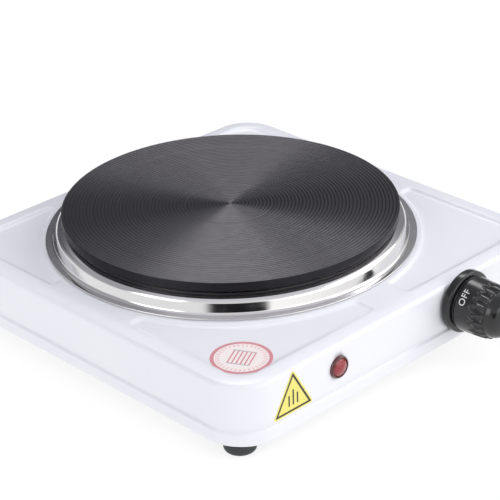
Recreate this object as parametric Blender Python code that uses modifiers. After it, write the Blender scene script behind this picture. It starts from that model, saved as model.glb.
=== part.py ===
"""Single electric hot plate: a cast-iron plate in a polished ring on a pressed steel body.

The frame is +Z up and -Y to the front, where the knob is. The origin lies on the table, under
the middle of the outline from the knob's nose to the cord gland. Every size below is in
millimetres; MM turns it into Blender's metres when a mesh is made or an object is placed.
"""

import math

import bmesh
import bpy
from mathutils import Vector

MM = 0.001

# ---------------------------------------------------------------- driving dimensions
GAP = 0.3                     # left between pieces that touch
SHEET = 1.0                   # thickness of the pressed steel body and its cover

BODY_Y = 15.0                 # middle of the square body
PLATE_Y = 25.0                # plate axis, set back to leave room for the controls
BODY_HALF = 118.0             # half the width of the body above its hem
BODY_BOTTOM = 6.0
BODY_TOP = 40.3
CORNER_RADIUS = 22.0          # upright corners
TOP_ROUNDING = 4.0            # edge between the top and the sides
HEM_STEP = 0.8                # the hem stands this far proud of the sides
HEM_HEIGHT = 7.0

PANEL_DEPTH = 1.3             # four recessed panels, one at each corner of the top
PANEL_HALF = 108.5
PANEL_ARC = 104.0             # inner edge of the panels, round the plate axis
PANEL_CORNER = 13.0
PANEL_END_ROUNDING = 3.5
PANEL_FRONT_END_X = 11.5
PANEL_FRONT_END_Y = -25.5     # from the middle of the body
PANEL_REAR_END_X = 48.0
PANEL_REAR_END_Y = 33.0

HOLE_RADIUS = 95.0            # opening in the top that the plate sits in
PLATE_RADIUS = 92.5
PLATE_TOP = 57.0
PLATE_RIM_BOTTOM = 52.1
RING_RADIUS = 102.0
RING_WALL_RADIUS = 97.0

KNOB_X = 42.9
KNOB_Z = 27.7
LAMP_X = -50.6
LAMP_Z = 26.9
GLAND_X = -70.0
GLAND_Z = 24.0
FOOT_X = 107.0                # feet, from the middle of the body
FOOT_Y = 105.0
FOOT_RADIUS = 8.6
FOOT_NECK = 7.0               # narrower above, to stand inside the hem

FRONT_Y = BODY_Y - BODY_HALF
BACK_Y = BODY_Y + BODY_HALF
COVER_BOTTOM = BODY_BOTTOM + 0.6
COVER_TOP = COVER_BOTTOM + SHEET

# ---------------------------------------------------------------- scene and materials
for old in list(bpy.data.objects):
    bpy.data.objects.remove(old, do_unlink=True)

PARTS = bpy.data.collections.new("hot_plate")
CUTTERS = bpy.data.collections.new("cutters")
bpy.context.scene.collection.children.link(PARTS)
bpy.context.scene.collection.children.link(CUTTERS)


def material(name, colour, metallic, roughness):
    """Return a Principled material with one colour."""
    made = bpy.data.materials.new(name)
    made.use_nodes = True
    shader = made.node_tree.nodes["Principled BSDF"]
    shader.inputs["Base Color"].default_value = (*colour, 1.0)
    shader.inputs["Metallic"].default_value = metallic
    shader.inputs["Roughness"].default_value = roughness
    made.diffuse_color = (*colour, 1.0)
    return made


WHITE_ENAMEL = material("white_enamel", (0.86, 0.86, 0.89), 0.0, 0.35)
CAST_IRON = material("cast_iron", (0.045, 0.045, 0.05), 0.6, 0.5)
POLISHED_STEEL = material("polished_steel", (0.75, 0.75, 0.77), 1.0, 0.12)
PLAIN_STEEL = material("plain_steel", (0.55, 0.56, 0.58), 1.0, 0.4)
BLACK_PLASTIC = material("black_plastic", (0.02, 0.02, 0.022), 0.0, 0.25)
RED_LENS = material("red_lens", (0.6, 0.03, 0.03), 0.0, 0.15)
RUBBER = material("rubber", (0.03, 0.035, 0.035), 0.0, 0.7)
CERAMIC = material("ceramic", (0.85, 0.83, 0.78), 0.0, 0.5)
MINERAL_WOOL = material("mineral_wool", (0.72, 0.7, 0.64), 0.0, 0.9)
BRASS = material("brass", (0.72, 0.53, 0.24), 1.0, 0.35)
GLASS = material("glass", (0.9, 0.75, 0.65), 0.0, 0.05)
LEAD_SLEEVE = material("lead_sleeve", (0.75, 0.73, 0.68), 0.0, 0.8)
EARTH_SLEEVE = material("earth_sleeve", (0.45, 0.55, 0.12), 0.0, 0.6)
YELLOW_LABEL = material("yellow_label", (0.9, 0.75, 0.1), 0.0, 0.4)
WHITE_LABEL = material("white_label", (0.9, 0.88, 0.88), 0.0, 0.4)


# ---------------------------------------------------------------- shape tools
def add_object(name, mesh, finish, place=(0.0, 0.0, 0.0)):
    """Put a mesh in the scene: a part with a finish, or a hidden cutter without one."""
    made = bpy.data.objects.new(name, mesh)
    made.location = Vector(place) * MM
    if finish is None:
        CUTTERS.objects.link(made)
        made.hide_render = True
        made.display_type = "WIRE"
    else:
        PARTS.objects.link(made)
        mesh.materials.append(finish)
    return made


def finish_mesh(name, shape, smooth=False):
    """Turn a bmesh into a mesh, with its faces pointing out."""
    bmesh.ops.recalc_face_normals(shape, faces=shape.faces)
    mesh = bpy.data.meshes.new(name)
    shape.to_mesh(mesh)
    shape.free()
    if smooth:
        mesh.shade_smooth()
        mesh.set_sharp_from_angle(angle=math.radians(35))
    return mesh


def box(name, low, high, finish=None):
    """A box between two corners."""
    shape = bmesh.new()
    bmesh.ops.create_cube(shape, size=1.0)
    for vertex in shape.verts:
        vertex.co = Vector([(a + b) / 2 + c * (b - a) for a, b, c in zip(low, high, vertex.co)]) * MM
    return add_object(name, finish_mesh(name, shape), finish)


def rounded_block(name, half, bottom, top, corner, edge=0.0, finish=None):
    """A square block about the middle of the body, with round upright corners and top edge."""
    shape = bmesh.new()
    bmesh.ops.create_cube(shape, size=1.0)
    for vertex in shape.verts:
        x, y, z = vertex.co
        vertex.co = Vector((2 * half * x, BODY_Y + 2 * half * y, bottom + (z + 0.5) * (top - bottom))) * MM
    upright = [e for e in shape.edges if abs(e.verts[0].co.z - e.verts[1].co.z) > 1e-4]
    bmesh.ops.bevel(shape, geom=upright, offset=corner * MM, segments=6, profile=0.5, affect="EDGES")
    if edge:
        rim = [e for e in shape.edges if all(v.co.z > (top - 0.01) * MM for v in e.verts)]
        bmesh.ops.bevel(shape, geom=rim, offset=edge * MM, segments=3, profile=0.5, affect="EDGES")
    return add_object(name, finish_mesh(name, shape, smooth=True), finish)


def cylinder(name, radius, start, end, finish=None, sides=32):
    """A cylinder between two points."""
    start, end = Vector(start), Vector(end)
    along = end - start
    shape = bmesh.new()
    bmesh.ops.create_cone(shape, cap_ends=True, segments=sides, radius1=radius * MM, radius2=radius * MM,
                          depth=along.length * MM)
    made = add_object(name, finish_mesh(name, shape, smooth=True), finish, (start + end) / 2)
    made.rotation_euler = along.to_track_quat("Z", "Y").to_euler()
    return made


def turned(name, profile, finish, place, steps=32, forward=False):
    """A profile of (radius, height) turned round an axis: +Z, or -Y when it points forward.

    The profile runs down its outer side, and it closes on itself unless it ends on the axis.
    """
    mesh = bpy.data.meshes.new(name)
    points = [(radius * MM, 0.0, height * MM) for radius, height in profile]
    edges = [(i, i + 1) for i in range(len(points) - 1)]
    if profile[0][0] > 0:
        edges.append((len(points) - 1, 0))
    mesh.from_pydata(points, edges, [])
    made = add_object(name, mesh, finish, place)
    if forward:
        made.rotation_euler = (math.pi / 2, 0.0, 0.0)
    screw = made.modifiers.new("turn", "SCREW")
    screw.steps = screw.render_steps = steps
    screw.use_merge_vertices = True
    screw.merge_threshold = 0.00001
    screw.use_smooth_shade = True
    return made


def as_mesh(curve_object, name, finish):
    """Swap a curve object for a mesh object with its caps welded."""
    bpy.context.view_layer.update()
    evaluated = curve_object.evaluated_get(bpy.context.evaluated_depsgraph_get())
    mesh = bpy.data.meshes.new_from_object(evaluated)
    mesh.name = name
    shape = bmesh.new()
    shape.from_mesh(mesh)
    bmesh.ops.remove_doubles(shape, verts=shape.verts, dist=0.00001)
    shape.to_mesh(mesh)
    shape.free()
    matrix = curve_object.matrix_world.copy()
    bpy.data.objects.remove(curve_object, do_unlink=True)
    made = add_object(name, mesh, finish)
    made.matrix_world = matrix
    return made


def plate(name, outline, low, high, finish=None, upright=False):
    """A flat outline with a thickness from low to high, lying down or standing along Y.

    An upright outline is given as (x, z), and low and high are then its places along Y.
    """
    curve = bpy.data.curves.new(name + "_outline", "CURVE")
    curve.dimensions = "2D"
    curve.fill_mode = "BOTH"
    curve.extrude = (high - low) / 2 * MM
    spline = curve.splines.new("POLY")
    spline.points.add(len(outline) - 1)
    for point, (u, v) in zip(spline.points, outline):
        point.co = (u * MM, v * MM, 0.0, 1.0)
    spline.use_cyclic_u = True
    holder = bpy.data.objects.new(name + "_outline", curve)
    PARTS.objects.link(holder)
    middle = (low + high) / 2 * MM
    if upright:
        holder.rotation_euler = (math.pi / 2, 0.0, 0.0)
        holder.location = (0.0, middle, 0.0)
    else:
        holder.location = (0.0, 0.0, middle)
    return as_mesh(holder, name, finish)


def smooth_path(points, steps=3):
    """Points of a smooth curve (Catmull-Rom) through the given ones."""
    knots = [Vector(p) for p in points]
    padded = [2 * knots[0] - knots[1], *knots, 2 * knots[-1] - knots[-2]]
    path = []
    for before, here, there, after in zip(padded, padded[1:], padded[2:], padded[3:]):
        for step in range(steps):
            t = step / steps
            path.append(0.5 * (2 * here + (there - before) * t
                               + (2 * before - 5 * here + 4 * there - after) * t ** 2
                               + (3 * here - before - 3 * there + after) * t ** 3))
    path.append(knots[-1])
    return path


def tube(name, path, radius, finish):
    """A round bar or lead along a path."""
    curve = bpy.data.curves.new(name, "CURVE")
    curve.dimensions = "3D"
    curve.bevel_depth = radius * MM
    curve.bevel_resolution = 2
    curve.use_fill_caps = True
    spline = curve.splines.new("POLY")
    spline.points.add(len(path) - 1)
    for point, place in zip(spline.points, path):
        point.co = (*(Vector(place) * MM), 1.0)
    holder = bpy.data.objects.new(name + "_path", curve)
    PARTS.objects.link(holder)
    return as_mesh(holder, name, finish)


def combine(target, cutter, operation="DIFFERENCE"):
    """Cut an object with another one, or join them."""
    cut = target.modifiers.new(cutter.name, "BOOLEAN")
    cut.operation = operation
    cut.solver = "EXACT"
    cut.object = cutter


def fillet(points, radii, steps):
    """Round the corners of a closed outline; a radius of 0 leaves a point as it is."""
    rounded = []
    for i, (point, radius) in enumerate(zip(points, radii)):
        here = Vector(point)
        if not radius:
            rounded.append(here)
            continue
        back = (Vector(points[i - 1]) - here).normalized()
        ahead = (Vector(points[(i + 1) % len(points)]) - here).normalized()
        half_angle = back.angle(ahead) / 2
        centre = here + (back + ahead).normalized() * radius / math.sin(half_angle)
        first = here + back * radius / math.tan(half_angle) - centre
        last = here + ahead * radius / math.tan(half_angle) - centre
        turn = first.angle_signed(last)
        for step in range(steps + 1):
            # Vector.rotate on a 2D vector turns anticlockwise; angle_signed counts clockwise
            angle = -turn * step / steps
            rounded.append(centre + Vector((first.x * math.cos(angle) - first.y * math.sin(angle),
                                            first.x * math.sin(angle) + first.y * math.cos(angle))))
    return rounded


def rounded_rectangle(centre, size, radius, steps=4):
    """Outline of a rectangle with round corners."""
    (x, y), (w, h) = centre, (size[0] / 2, size[1] / 2)
    corners = [(x - w, y - h), (x + w, y - h), (x + w, y + h), (x - w, y + h)]
    return fillet(corners, [radius] * 4, steps)


def hexagon(across_flats, centre=(0.0, 0.0)):
    """Outline of a hexagon."""
    radius = across_flats / math.sqrt(3)
    return [(centre[0] + radius * math.cos(k * math.pi / 3), centre[1] + radius * math.sin(k * math.pi / 3))
            for k in range(6)]


# ---------------------------------------------------------------- body
def panel_outline(side, end, grow):
    """Outline of a recessed corner panel: straight along the body's edges, round the plate inside.

    side is -1 on the left and +1 on the right, end is -1 at the front and +1 at the back, and
    grow moves the whole outline out.
    """
    half = PANEL_HALF + grow
    arc = PANEL_ARC - grow
    plate_shift = PLATE_Y - BODY_Y
    end_x = (PANEL_FRONT_END_X if end < 0 else PANEL_REAR_END_X) - grow
    end_y = (PANEL_FRONT_END_Y if end < 0 else PANEL_REAR_END_Y) - end * grow
    arc_y = plate_shift + end * math.sqrt(arc ** 2 - end_x ** 2)
    arc_x = math.sqrt(arc ** 2 - (end_y - plate_shift) ** 2)
    start_angle = math.atan2(arc_y - plate_shift, end_x)
    stop_angle = math.atan2(end_y - plate_shift, arc_x)
    arc_steps = 9
    arc_points = [(arc * math.cos(a), plate_shift + arc * math.sin(a))
                  for a in (start_angle + (stop_angle - start_angle) * k / arc_steps
                            for k in range(arc_steps + 1))]
    corners = [(half, end_y), (half, end * half), (end_x, end * half), *arc_points]
    ends = PANEL_END_ROUNDING
    narrow = min(ends, 2.0)
    radii = [ends, PANEL_CORNER + grow, narrow, narrow, *[0.0] * (arc_steps - 1), ends]
    return [(side * x, BODY_Y + y) for x, y in fillet(corners, radii, 4)]


def make_top_housing():
    """The pressed steel body: one shell with its hem, panels, plate opening and control holes."""
    inner_half = BODY_HALF - SHEET
    inner_corner = CORNER_RADIUS - SHEET
    hem_top = BODY_BOTTOM + HEM_HEIGHT
    housing = rounded_block("top_housing", BODY_HALF, BODY_BOTTOM + 2.0, BODY_TOP, CORNER_RADIUS,
                            TOP_ROUNDING, WHITE_ENAMEL)
    hem = rounded_block("hem_block", BODY_HALF + HEM_STEP, BODY_BOTTOM, hem_top, CORNER_RADIUS + HEM_STEP)
    combine(housing, hem, "UNION")

    cavity = rounded_block("cavity", inner_half, BODY_BOTTOM - 2.0, BODY_TOP - SHEET, inner_corner,
                           TOP_ROUNDING - SHEET)
    hem_cavity = rounded_block("hem_cavity", inner_half + HEM_STEP, BODY_BOTTOM - 3.0, hem_top - SHEET,
                               inner_corner + HEM_STEP)
    combine(cavity, hem_cavity, "UNION")
    for side in (-1, 1):
        for end in (-1, 1):
            tag = f"{'left' if side < 0 else 'right'}_{'front' if end < 0 else 'rear'}"
            floor = plate(f"panel_floor_{tag}", panel_outline(side, end, SHEET),
                          BODY_TOP - PANEL_DEPTH - SHEET, BODY_TOP + 3.0)
            combine(cavity, floor)
    combine(housing, cavity)
    for side in (-1, 1):
        for end in (-1, 1):
            tag = f"{'left' if side < 0 else 'right'}_{'front' if end < 0 else 'rear'}"
            recess = plate(f"panel_recess_{tag}", panel_outline(side, end, 0.0),
                           BODY_TOP - PANEL_DEPTH, BODY_TOP + 2.0)
            combine(housing, recess)

    wall_in, wall_out = 4.0, 4.0
    combine(housing, cylinder("plate_opening", HOLE_RADIUS, (0.0, PLATE_Y, BODY_TOP - 6.0),
                              (0.0, PLATE_Y, BODY_TOP + 3.0), sides=48))
    combine(housing, cylinder("bush_hole", 5.0, (KNOB_X, FRONT_Y - wall_out, KNOB_Z),
                              (KNOB_X, FRONT_Y + wall_in, KNOB_Z), sides=24))
    combine(housing, cylinder("lamp_hole", 5.2, (LAMP_X, FRONT_Y - wall_out, LAMP_Z),
                              (LAMP_X, FRONT_Y + wall_in, LAMP_Z), sides=24))
    combine(housing, cylinder("gland_hole", 6.6, (GLAND_X, BACK_Y - wall_in, GLAND_Z),
                              (GLAND_X, BACK_Y + wall_out, GLAND_Z), sides=24))


def make_bottom_cover():
    """The flat steel cover inside the hem, with two fields of cooling slots."""
    outline = rounded_rectangle((0.0, BODY_Y), (2 * (BODY_HALF - 0.7), 2 * (BODY_HALF - 0.7)), 21.0, 6)
    cover = plate("bottom_cover", outline, COVER_BOTTOM, COVER_TOP, PLAIN_STEEL)
    slot_count, slot_pitch, slot_length = 4, 12.0, 60.0
    for side in (-1, 1):
        for k in range(slot_count):
            middle = (side * (40.0 + slot_pitch * k), BODY_Y)
            slot = plate(f"vent_{'left' if side < 0 else 'right'}_{k}",
                         rounded_rectangle(middle, (4.0, slot_length), 1.9, 2),
                         COVER_BOTTOM - 2.0, COVER_TOP + 2.0)
            combine(cover, slot)
    for x, y, tag in foot_places():
        combine(cover, cylinder(f"cover_hole_{tag}", 2.3, (x, y, COVER_BOTTOM - 2.0),
                                (x, y, COVER_TOP + 0.2), sides=12))


def foot_places():
    """Place and name of each of the four feet."""
    return [(side * FOOT_X, BODY_Y + end * FOOT_Y,
             f"{'front' if end < 0 else 'rear'}_{'left' if side < 0 else 'right'}")
            for end in (-1, 1) for side in (-1, 1)]


def make_feet():
    """Four rubber feet, each held through the cover by a screw into a corner bracket."""
    foot_top = COVER_BOTTOM - GAP
    screw_seat = 3.0
    shoulder = BODY_BOTTOM - GAP
    foot = [(FOOT_NECK, foot_top), (FOOT_NECK, shoulder), (FOOT_RADIUS, shoulder), (FOOT_RADIUS, 2.4),
            (FOOT_RADIUS - 0.6, 0.8), (FOOT_RADIUS - 1.6, 0.0), (4.4, 0.0), (4.4, screw_seat),
            (2.3, screw_seat), (2.3, foot_top)]
    head_top = screw_seat - GAP
    screw = [(0.0, 16.0), (1.5, 16.0), (1.9, 15.2), (1.9, head_top), (3.7, head_top),
             (3.7, head_top - 0.9), (2.9, head_top - 1.8), (0.0, head_top - 1.8)]
    for x, y, tag in foot_places():
        turned(f"foot_{tag}", foot, RUBBER, (x, y, 0.0), steps=16)
        turned(f"foot_screw_{tag}", screw, PLAIN_STEEL, (x, y, 0.0), steps=12)

        side, end = math.copysign(1, x), math.copysign(1, y - BODY_Y)
        reach = BODY_HALF - SHEET - GAP
        leg_start, leg_end = 78.0, 93.0
        tab = [(99.0, leg_start), (reach, leg_start), (reach, leg_end), (111.2, 104.0), (110.4, 109.3),
               (99.0, 111.0)]
        tab_points = [(side * u, BODY_Y + end * v) for u, v in tab]
        tab_low = COVER_TOP + GAP
        bracket = plate(f"corner_bracket_{tag}", tab_points, tab_low, tab_low + 1.2, PLAIN_STEEL)
        leg_x = sorted((side * (reach - 1.2), side * reach))
        leg_y = sorted((BODY_Y + end * leg_start, BODY_Y + end * leg_end))
        leg = box(f"bracket_leg_{tag}", (leg_x[0], leg_y[0], tab_low + 0.6), (leg_x[1], leg_y[1], 30.0))
        combine(bracket, leg, "UNION")
        combine(bracket, cylinder(f"bracket_hole_{tag}", 2.3, (x, y, tab_low - 1.0),
                                  (x, y, tab_low + 3.0), sides=12))


# ---------------------------------------------------------------- plate and what clamps it
def make_trim_ring():
    """The polished ring: flange on the body, upright wall, rolled band and inner skirt."""
    flange_low = BODY_TOP + GAP
    wall = RING_WALL_RADIUS
    shown = [(88.1, 49.2), (90.0, 50.0), (95.7, 48.7), (wall, 47.0), (wall, 42.4), (wall + 1.0, 41.4),
             (RING_RADIUS, 41.4)]
    hidden = [(RING_RADIUS, flange_low), (wall + 0.2, flange_low), (wall - 0.8, 42.0), (wall - 0.8, 46.6),
              (95.1, 48.0), (89.8, 49.1), (88.9, 48.6), (88.9, 43.0), (88.1, 43.0)]
    turned("trim_ring", shown + hidden, POLISHED_STEEL, (0.0, PLATE_Y, 0.0), steps=48)


def make_hot_plate():
    """The cast-iron plate: flat top, upright rim, and a channel below for the heating element."""
    top, rim = PLATE_TOP, PLATE_RIM_BOTTOM
    ceiling = 50.0
    profile = [(0.0, top), (PLATE_RADIUS - 0.8, top), (PLATE_RADIUS, top - 0.8), (PLATE_RADIUS, rim + 0.3),
               (PLATE_RADIUS - 0.3, rim), (89.6, rim), (89.4, 50.4), (87.4, 50.4), (87.4, 43.8),
               (84.6, 43.8), (84.0, ceiling), (50.0, ceiling), (49.5, 45.0), (47.5, 45.0), (47.0, ceiling),
               (9.5, ceiling), (8.5, 38.9), (3.4, 38.9), (3.4, 50.5), (0.0, 50.5)]
    turned("hot_plate", profile, CAST_IRON, (0.0, PLATE_Y, 0.0), steps=48)


ELEMENT_START = (57.0, -100.0)        # radius and angle of the inner leg
ELEMENT_END = (78.0, 640.0)           # radius and angle of the outer leg, two turns on
ELEMENT_Z = 46.2
ELEMENT_FOOT = 31.0                   # the legs end here, below the heat shield


def element_leg(radius, angle):
    """Place of a leg of the heating element, seen from above."""
    turn = math.radians(angle)
    return (radius * math.cos(turn), PLATE_Y + radius * math.sin(turn))


def make_heating_element():
    """The sheathed element: a two-turn spiral under the plate with both legs turned down."""
    bend = 7.0
    steps = 44
    spiral = []
    for k in range(1, steps):
        share = k / steps
        radius = ELEMENT_START[0] + (ELEMENT_END[0] - ELEMENT_START[0]) * share
        x, y = element_leg(radius, ELEMENT_START[1] + (ELEMENT_END[1] - ELEMENT_START[1]) * share)
        spiral.append((x, y, ELEMENT_Z))
    path = [*leg_bend(ELEMENT_START, 1, bend), *spiral[1:-1], *reversed(leg_bend(ELEMENT_END, -1, bend))]
    tube("heating_element", path, 3.3, PLAIN_STEEL)


def leg_bend(leg, direction, bend):
    """A leg from its foot up and round a bend into the spiral."""
    x, y = element_leg(*leg)
    turn = math.radians(leg[1])
    along = Vector((-math.sin(turn), math.cos(turn))) * direction
    points = [(x, y, ELEMENT_FOOT), (x, y, ELEMENT_Z - bend)]
    for k in (1, 2, 3):
        angle = k * math.pi / 6
        reach = bend * (1 - math.cos(angle))
        points.append((x + along.x * reach, y + along.y * reach, ELEMENT_Z - bend + bend * math.sin(angle)))
    return points


def make_heat_shield():
    """The insulation disc and the steel pan below it, both pierced for the element's legs."""
    insulation = turned("insulation_disc", [(83.8, 42.4), (83.8, 38.9), (10.5, 38.9), (10.5, 42.4)],
                        MINERAL_WOOL, (0.0, PLATE_Y, 0.0), steps=48)
    pan = turned("heat_shield_pan", [(86.3, 43.4), (86.3, 37.8), (4.0, 37.8), (4.0, 38.6), (85.5, 38.6),
                                     (85.5, 43.4)], PLAIN_STEEL, (0.0, PLATE_Y, 0.0), steps=48)
    for tag, leg, direction in (("inner", ELEMENT_START, 1), ("outer", ELEMENT_END, -1)):
        x, y = element_leg(*leg)
        turn = math.radians(leg[1])
        along = Vector((-math.sin(turn), math.cos(turn))) * direction
        hole = rounded_rectangle((0.0, 0.0), (13.0, 9.6), 4.4)
        points = [(x + along.x * (u + 2.0) - along.y * v, y + along.y * (u + 2.0) + along.x * v)
                  for u, v in hole]
        combine(insulation, plate(f"leg_slot_{tag}", points, 36.0, 46.0))
        combine(pan, cylinder(f"leg_hole_{tag}", 4.6, (x, y, 35.0), (x, y, 40.0), sides=20))


def make_clamp():
    """The stud in the plate's boss, the bar under the body's top, and the washer and nut."""
    turned("centre_stud", [(0.0, 50.2), (2.6, 50.2), (3.1, 49.7), (3.1, 26.6), (2.6, 26.0), (0.0, 26.0)],
           PLAIN_STEEL, (0.0, PLATE_Y, 0.0), steps=16)
    end_top = BODY_TOP - SHEET - GAP
    middle_top = 37.5
    stations = [(-106.0, end_top), (-97.0, end_top), (-91.0, middle_top), (91.0, middle_top), (97.0, end_top),
                (106.0, end_top)]
    strip = bpy.data.meshes.new("mounting_bar")
    strip.from_pydata([(x * MM, (PLATE_Y + side * 11.0) * MM, z * MM) for x, z in stations for side in (-1, 1)],
                      [], [(2 * k, 2 * k + 2, 2 * k + 3, 2 * k + 1) for k in range(len(stations) - 1)])
    bar = add_object("mounting_bar", strip, PLAIN_STEEL)
    thicken = bar.modifiers.new("thickness", "SOLIDIFY")
    thicken.thickness = 2.0 * MM
    thicken.offset = -1.0
    combine(bar, cylinder("bar_hole", 3.5, (0.0, PLATE_Y, 30.0), (0.0, PLATE_Y, 42.0), sides=16))
    turned("stud_washer", [(8.0, 35.2), (8.0, 33.9), (3.5, 33.9), (3.5, 35.2)], PLAIN_STEEL,
           (0.0, PLATE_Y, 0.0), steps=24)
    nut = plate("stud_nut", hexagon(10.0, (0.0, PLATE_Y)), 28.6, 33.6, PLAIN_STEEL)
    combine(nut, cylinder("nut_bore", 3.4, (0.0, PLATE_Y, 26.0), (0.0, PLATE_Y, 36.0), sides=16))


# ---------------------------------------------------------------- control
def on_knob_axis(forward):
    """A point on the knob's axis, this far in front of the body's face."""
    return (KNOB_X, FRONT_Y - forward, KNOB_Z)


def make_knob():
    """The knob: skirt, tapered grip, round nose, and a hub with a blind bore for the spindle."""
    nose = [(0.0, 33.0), (4.5, 32.8), (8.0, 32.1), (10.5, 30.7), (12.2, 28.2), (12.6, 25.8), (13.3, 25.4)]
    grip = [(14.05, 24.4), (14.35, 22.0), (15.1, 8.8), (15.1, 7.9)]
    skirt = [(14.3, 7.8), (14.3, 6.4), (16.3, 6.1), (17.0, 5.5), (17.0, 1.7), (16.5, 1.2), (14.0, 1.2),
             (14.0, 5.0), (6.0, 5.0)]
    bore = [(6.0, 4.2), (3.3, 4.2), (3.3, 21.5), (0.0, 21.5)]
    profile = nose + grip + skirt + bore
    turned("knob", profile, BLACK_PLASTIC, on_knob_axis(0.0), steps=32, forward=True)


def make_control():
    """The thermostat behind the front face: body, bush and nut, spindle, tabs and blade."""
    spindle = turned("control_spindle", [(0.0, 21.0), (2.5, 21.0), (2.98, 20.5), (2.98, -9.0), (0.0, -9.0)],
                     PLAIN_STEEL, on_knob_axis(0.0), steps=24, forward=True)
    flat_x = 2.0
    combine(spindle, box("spindle_flat", (KNOB_X + flat_x, FRONT_Y - 23.0, KNOB_Z - 4.0),
                         (KNOB_X + 6.0, FRONT_Y - 9.0, KNOB_Z + 4.0)))
    turned("spindle_bush", [(4.6, 3.4), (4.6, -1.3), (7.0, -1.3), (7.0, -3.3), (3.05, -3.3), (3.05, 3.4)],
           BRASS, on_knob_axis(0.0), steps=24, forward=True)
    nut = plate("bush_nut", hexagon(13.0, (KNOB_X, KNOB_Z)), FRONT_Y - 2.8, FRONT_Y - GAP, BRASS, upright=True)
    combine(nut, cylinder("bush_nut_bore", 4.9, on_knob_axis(5.0), on_knob_axis(-2.0), sides=24))

    front, back = FRONT_Y + 3.6, FRONT_Y + 25.0
    body = box("thermostat_body", (KNOB_X - 15.0, front, KNOB_Z - 10.5), (KNOB_X + 15.0, back, KNOB_Z + 9.5),
               CERAMIC)
    combine(body, cylinder("spindle_bore", 3.4, on_knob_axis(0.0), on_knob_axis(-9.6), sides=20))
    for tag, shift in (("supply", -9.0), ("load", 9.0)):
        box(f"thermostat_tab_{tag}", (KNOB_X + shift - 3.2, back + GAP, KNOB_Z - 9.0),
            (KNOB_X + shift + 3.2, back + 9.0, KNOB_Z - 8.2), BRASS)
    box("thermostat_blade", (KNOB_X - 12.0, back + 1.6, KNOB_Z + 1.0), (KNOB_X + 12.0, back + 2.2, KNOB_Z + 6.0),
        BRASS)


def make_indicator():
    """The indicator lamp: bezel through the face, domed lens, neon bulb and push-on retainer."""
    place = (LAMP_X, FRONT_Y, LAMP_Z)
    turned("indicator_bezel", [(5.0, 1.6), (5.5, 1.9), (5.9, 1.3), (6.2, 0.3), (4.9, 0.3), (4.9, -9.0),
                               (4.3, -9.0), (4.3, 0.5), (5.0, 0.6)], RED_LENS, place, steps=32, forward=True)
    turned("indicator_lens", [(0.0, 3.0), (2.3, 2.7), (3.8, 2.0), (4.7, 1.2), (4.7, 0.9), (4.0, 0.8),
                              (4.0, -7.0), (3.0, -7.0), (3.0, -0.5), (0.0, -0.5)], RED_LENS, place, steps=32,
           forward=True)
    turned("neon_bulb", [(0.0, -0.9), (1.6, -1.6), (2.4, -3.2), (2.4, -13.0), (1.6, -14.2), (0.0, -14.2)],
           GLASS, place, steps=16, forward=True)
    turned("lamp_retainer", [(8.0, -1.3), (8.0, -2.1), (5.2, -2.1), (5.2, -1.3)], PLAIN_STEEL, place,
           steps=24, forward=True)


# ---------------------------------------------------------------- supply
BLOCK_X, BLOCK_Y = -70.0, 98.0
BLOCK_TOP = 20.0
POLE_PITCH = 11.0


def make_supply():
    """The cord gland in the back wall, the ceramic terminal block with its screws, and the earth screw."""
    turned("cord_gland", [(9.0, 3.0), (9.0, 0.3), (6.2, 0.3), (6.2, -1.3), (7.9, -1.3), (6.4, -7.0),
                          (3.8, -7.0), (3.8, 3.0)], BLACK_PLASTIC, (GLAND_X, BACK_Y, GLAND_Z),
           steps=24).rotation_euler = (-math.pi / 2, 0.0, 0.0)
    half_x, half_y = 17.0, 8.0
    block = box("terminal_block", (BLOCK_X - half_x, BLOCK_Y - half_y, COVER_TOP + GAP),
                (BLOCK_X + half_x, BLOCK_Y + half_y, BLOCK_TOP), CERAMIC)
    for k, tag in enumerate(("live", "neutral", "earth")):
        x = BLOCK_X + (k - 1) * POLE_PITCH
        for row in (-1, 1):
            y = BLOCK_Y + row * 4.0
            combine(block, cylinder(f"pole_bore_{tag}_{row}", 2.4, (x, y, 12.0), (x, y, 22.0), sides=12))
        turned(f"terminal_screw_{tag}", [(0.0, 19.4), (2.1, 19.4), (2.1, 17.4), (1.4, 17.4), (1.4, 12.6),
                                         (0.0, 12.6)], BRASS, (x, BLOCK_Y + 4.0, 0.0), steps=12)
    foot_of_stud = COVER_TOP + GAP
    turned("earth_stud", [(0.0, 15.2), (1.9, 15.2), (1.9, foot_of_stud + 1.5), (4.5, foot_of_stud + 1.5),
                          (4.5, foot_of_stud), (0.0, foot_of_stud)], PLAIN_STEEL, (-100.0, 60.0, 0.0), steps=12)


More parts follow.
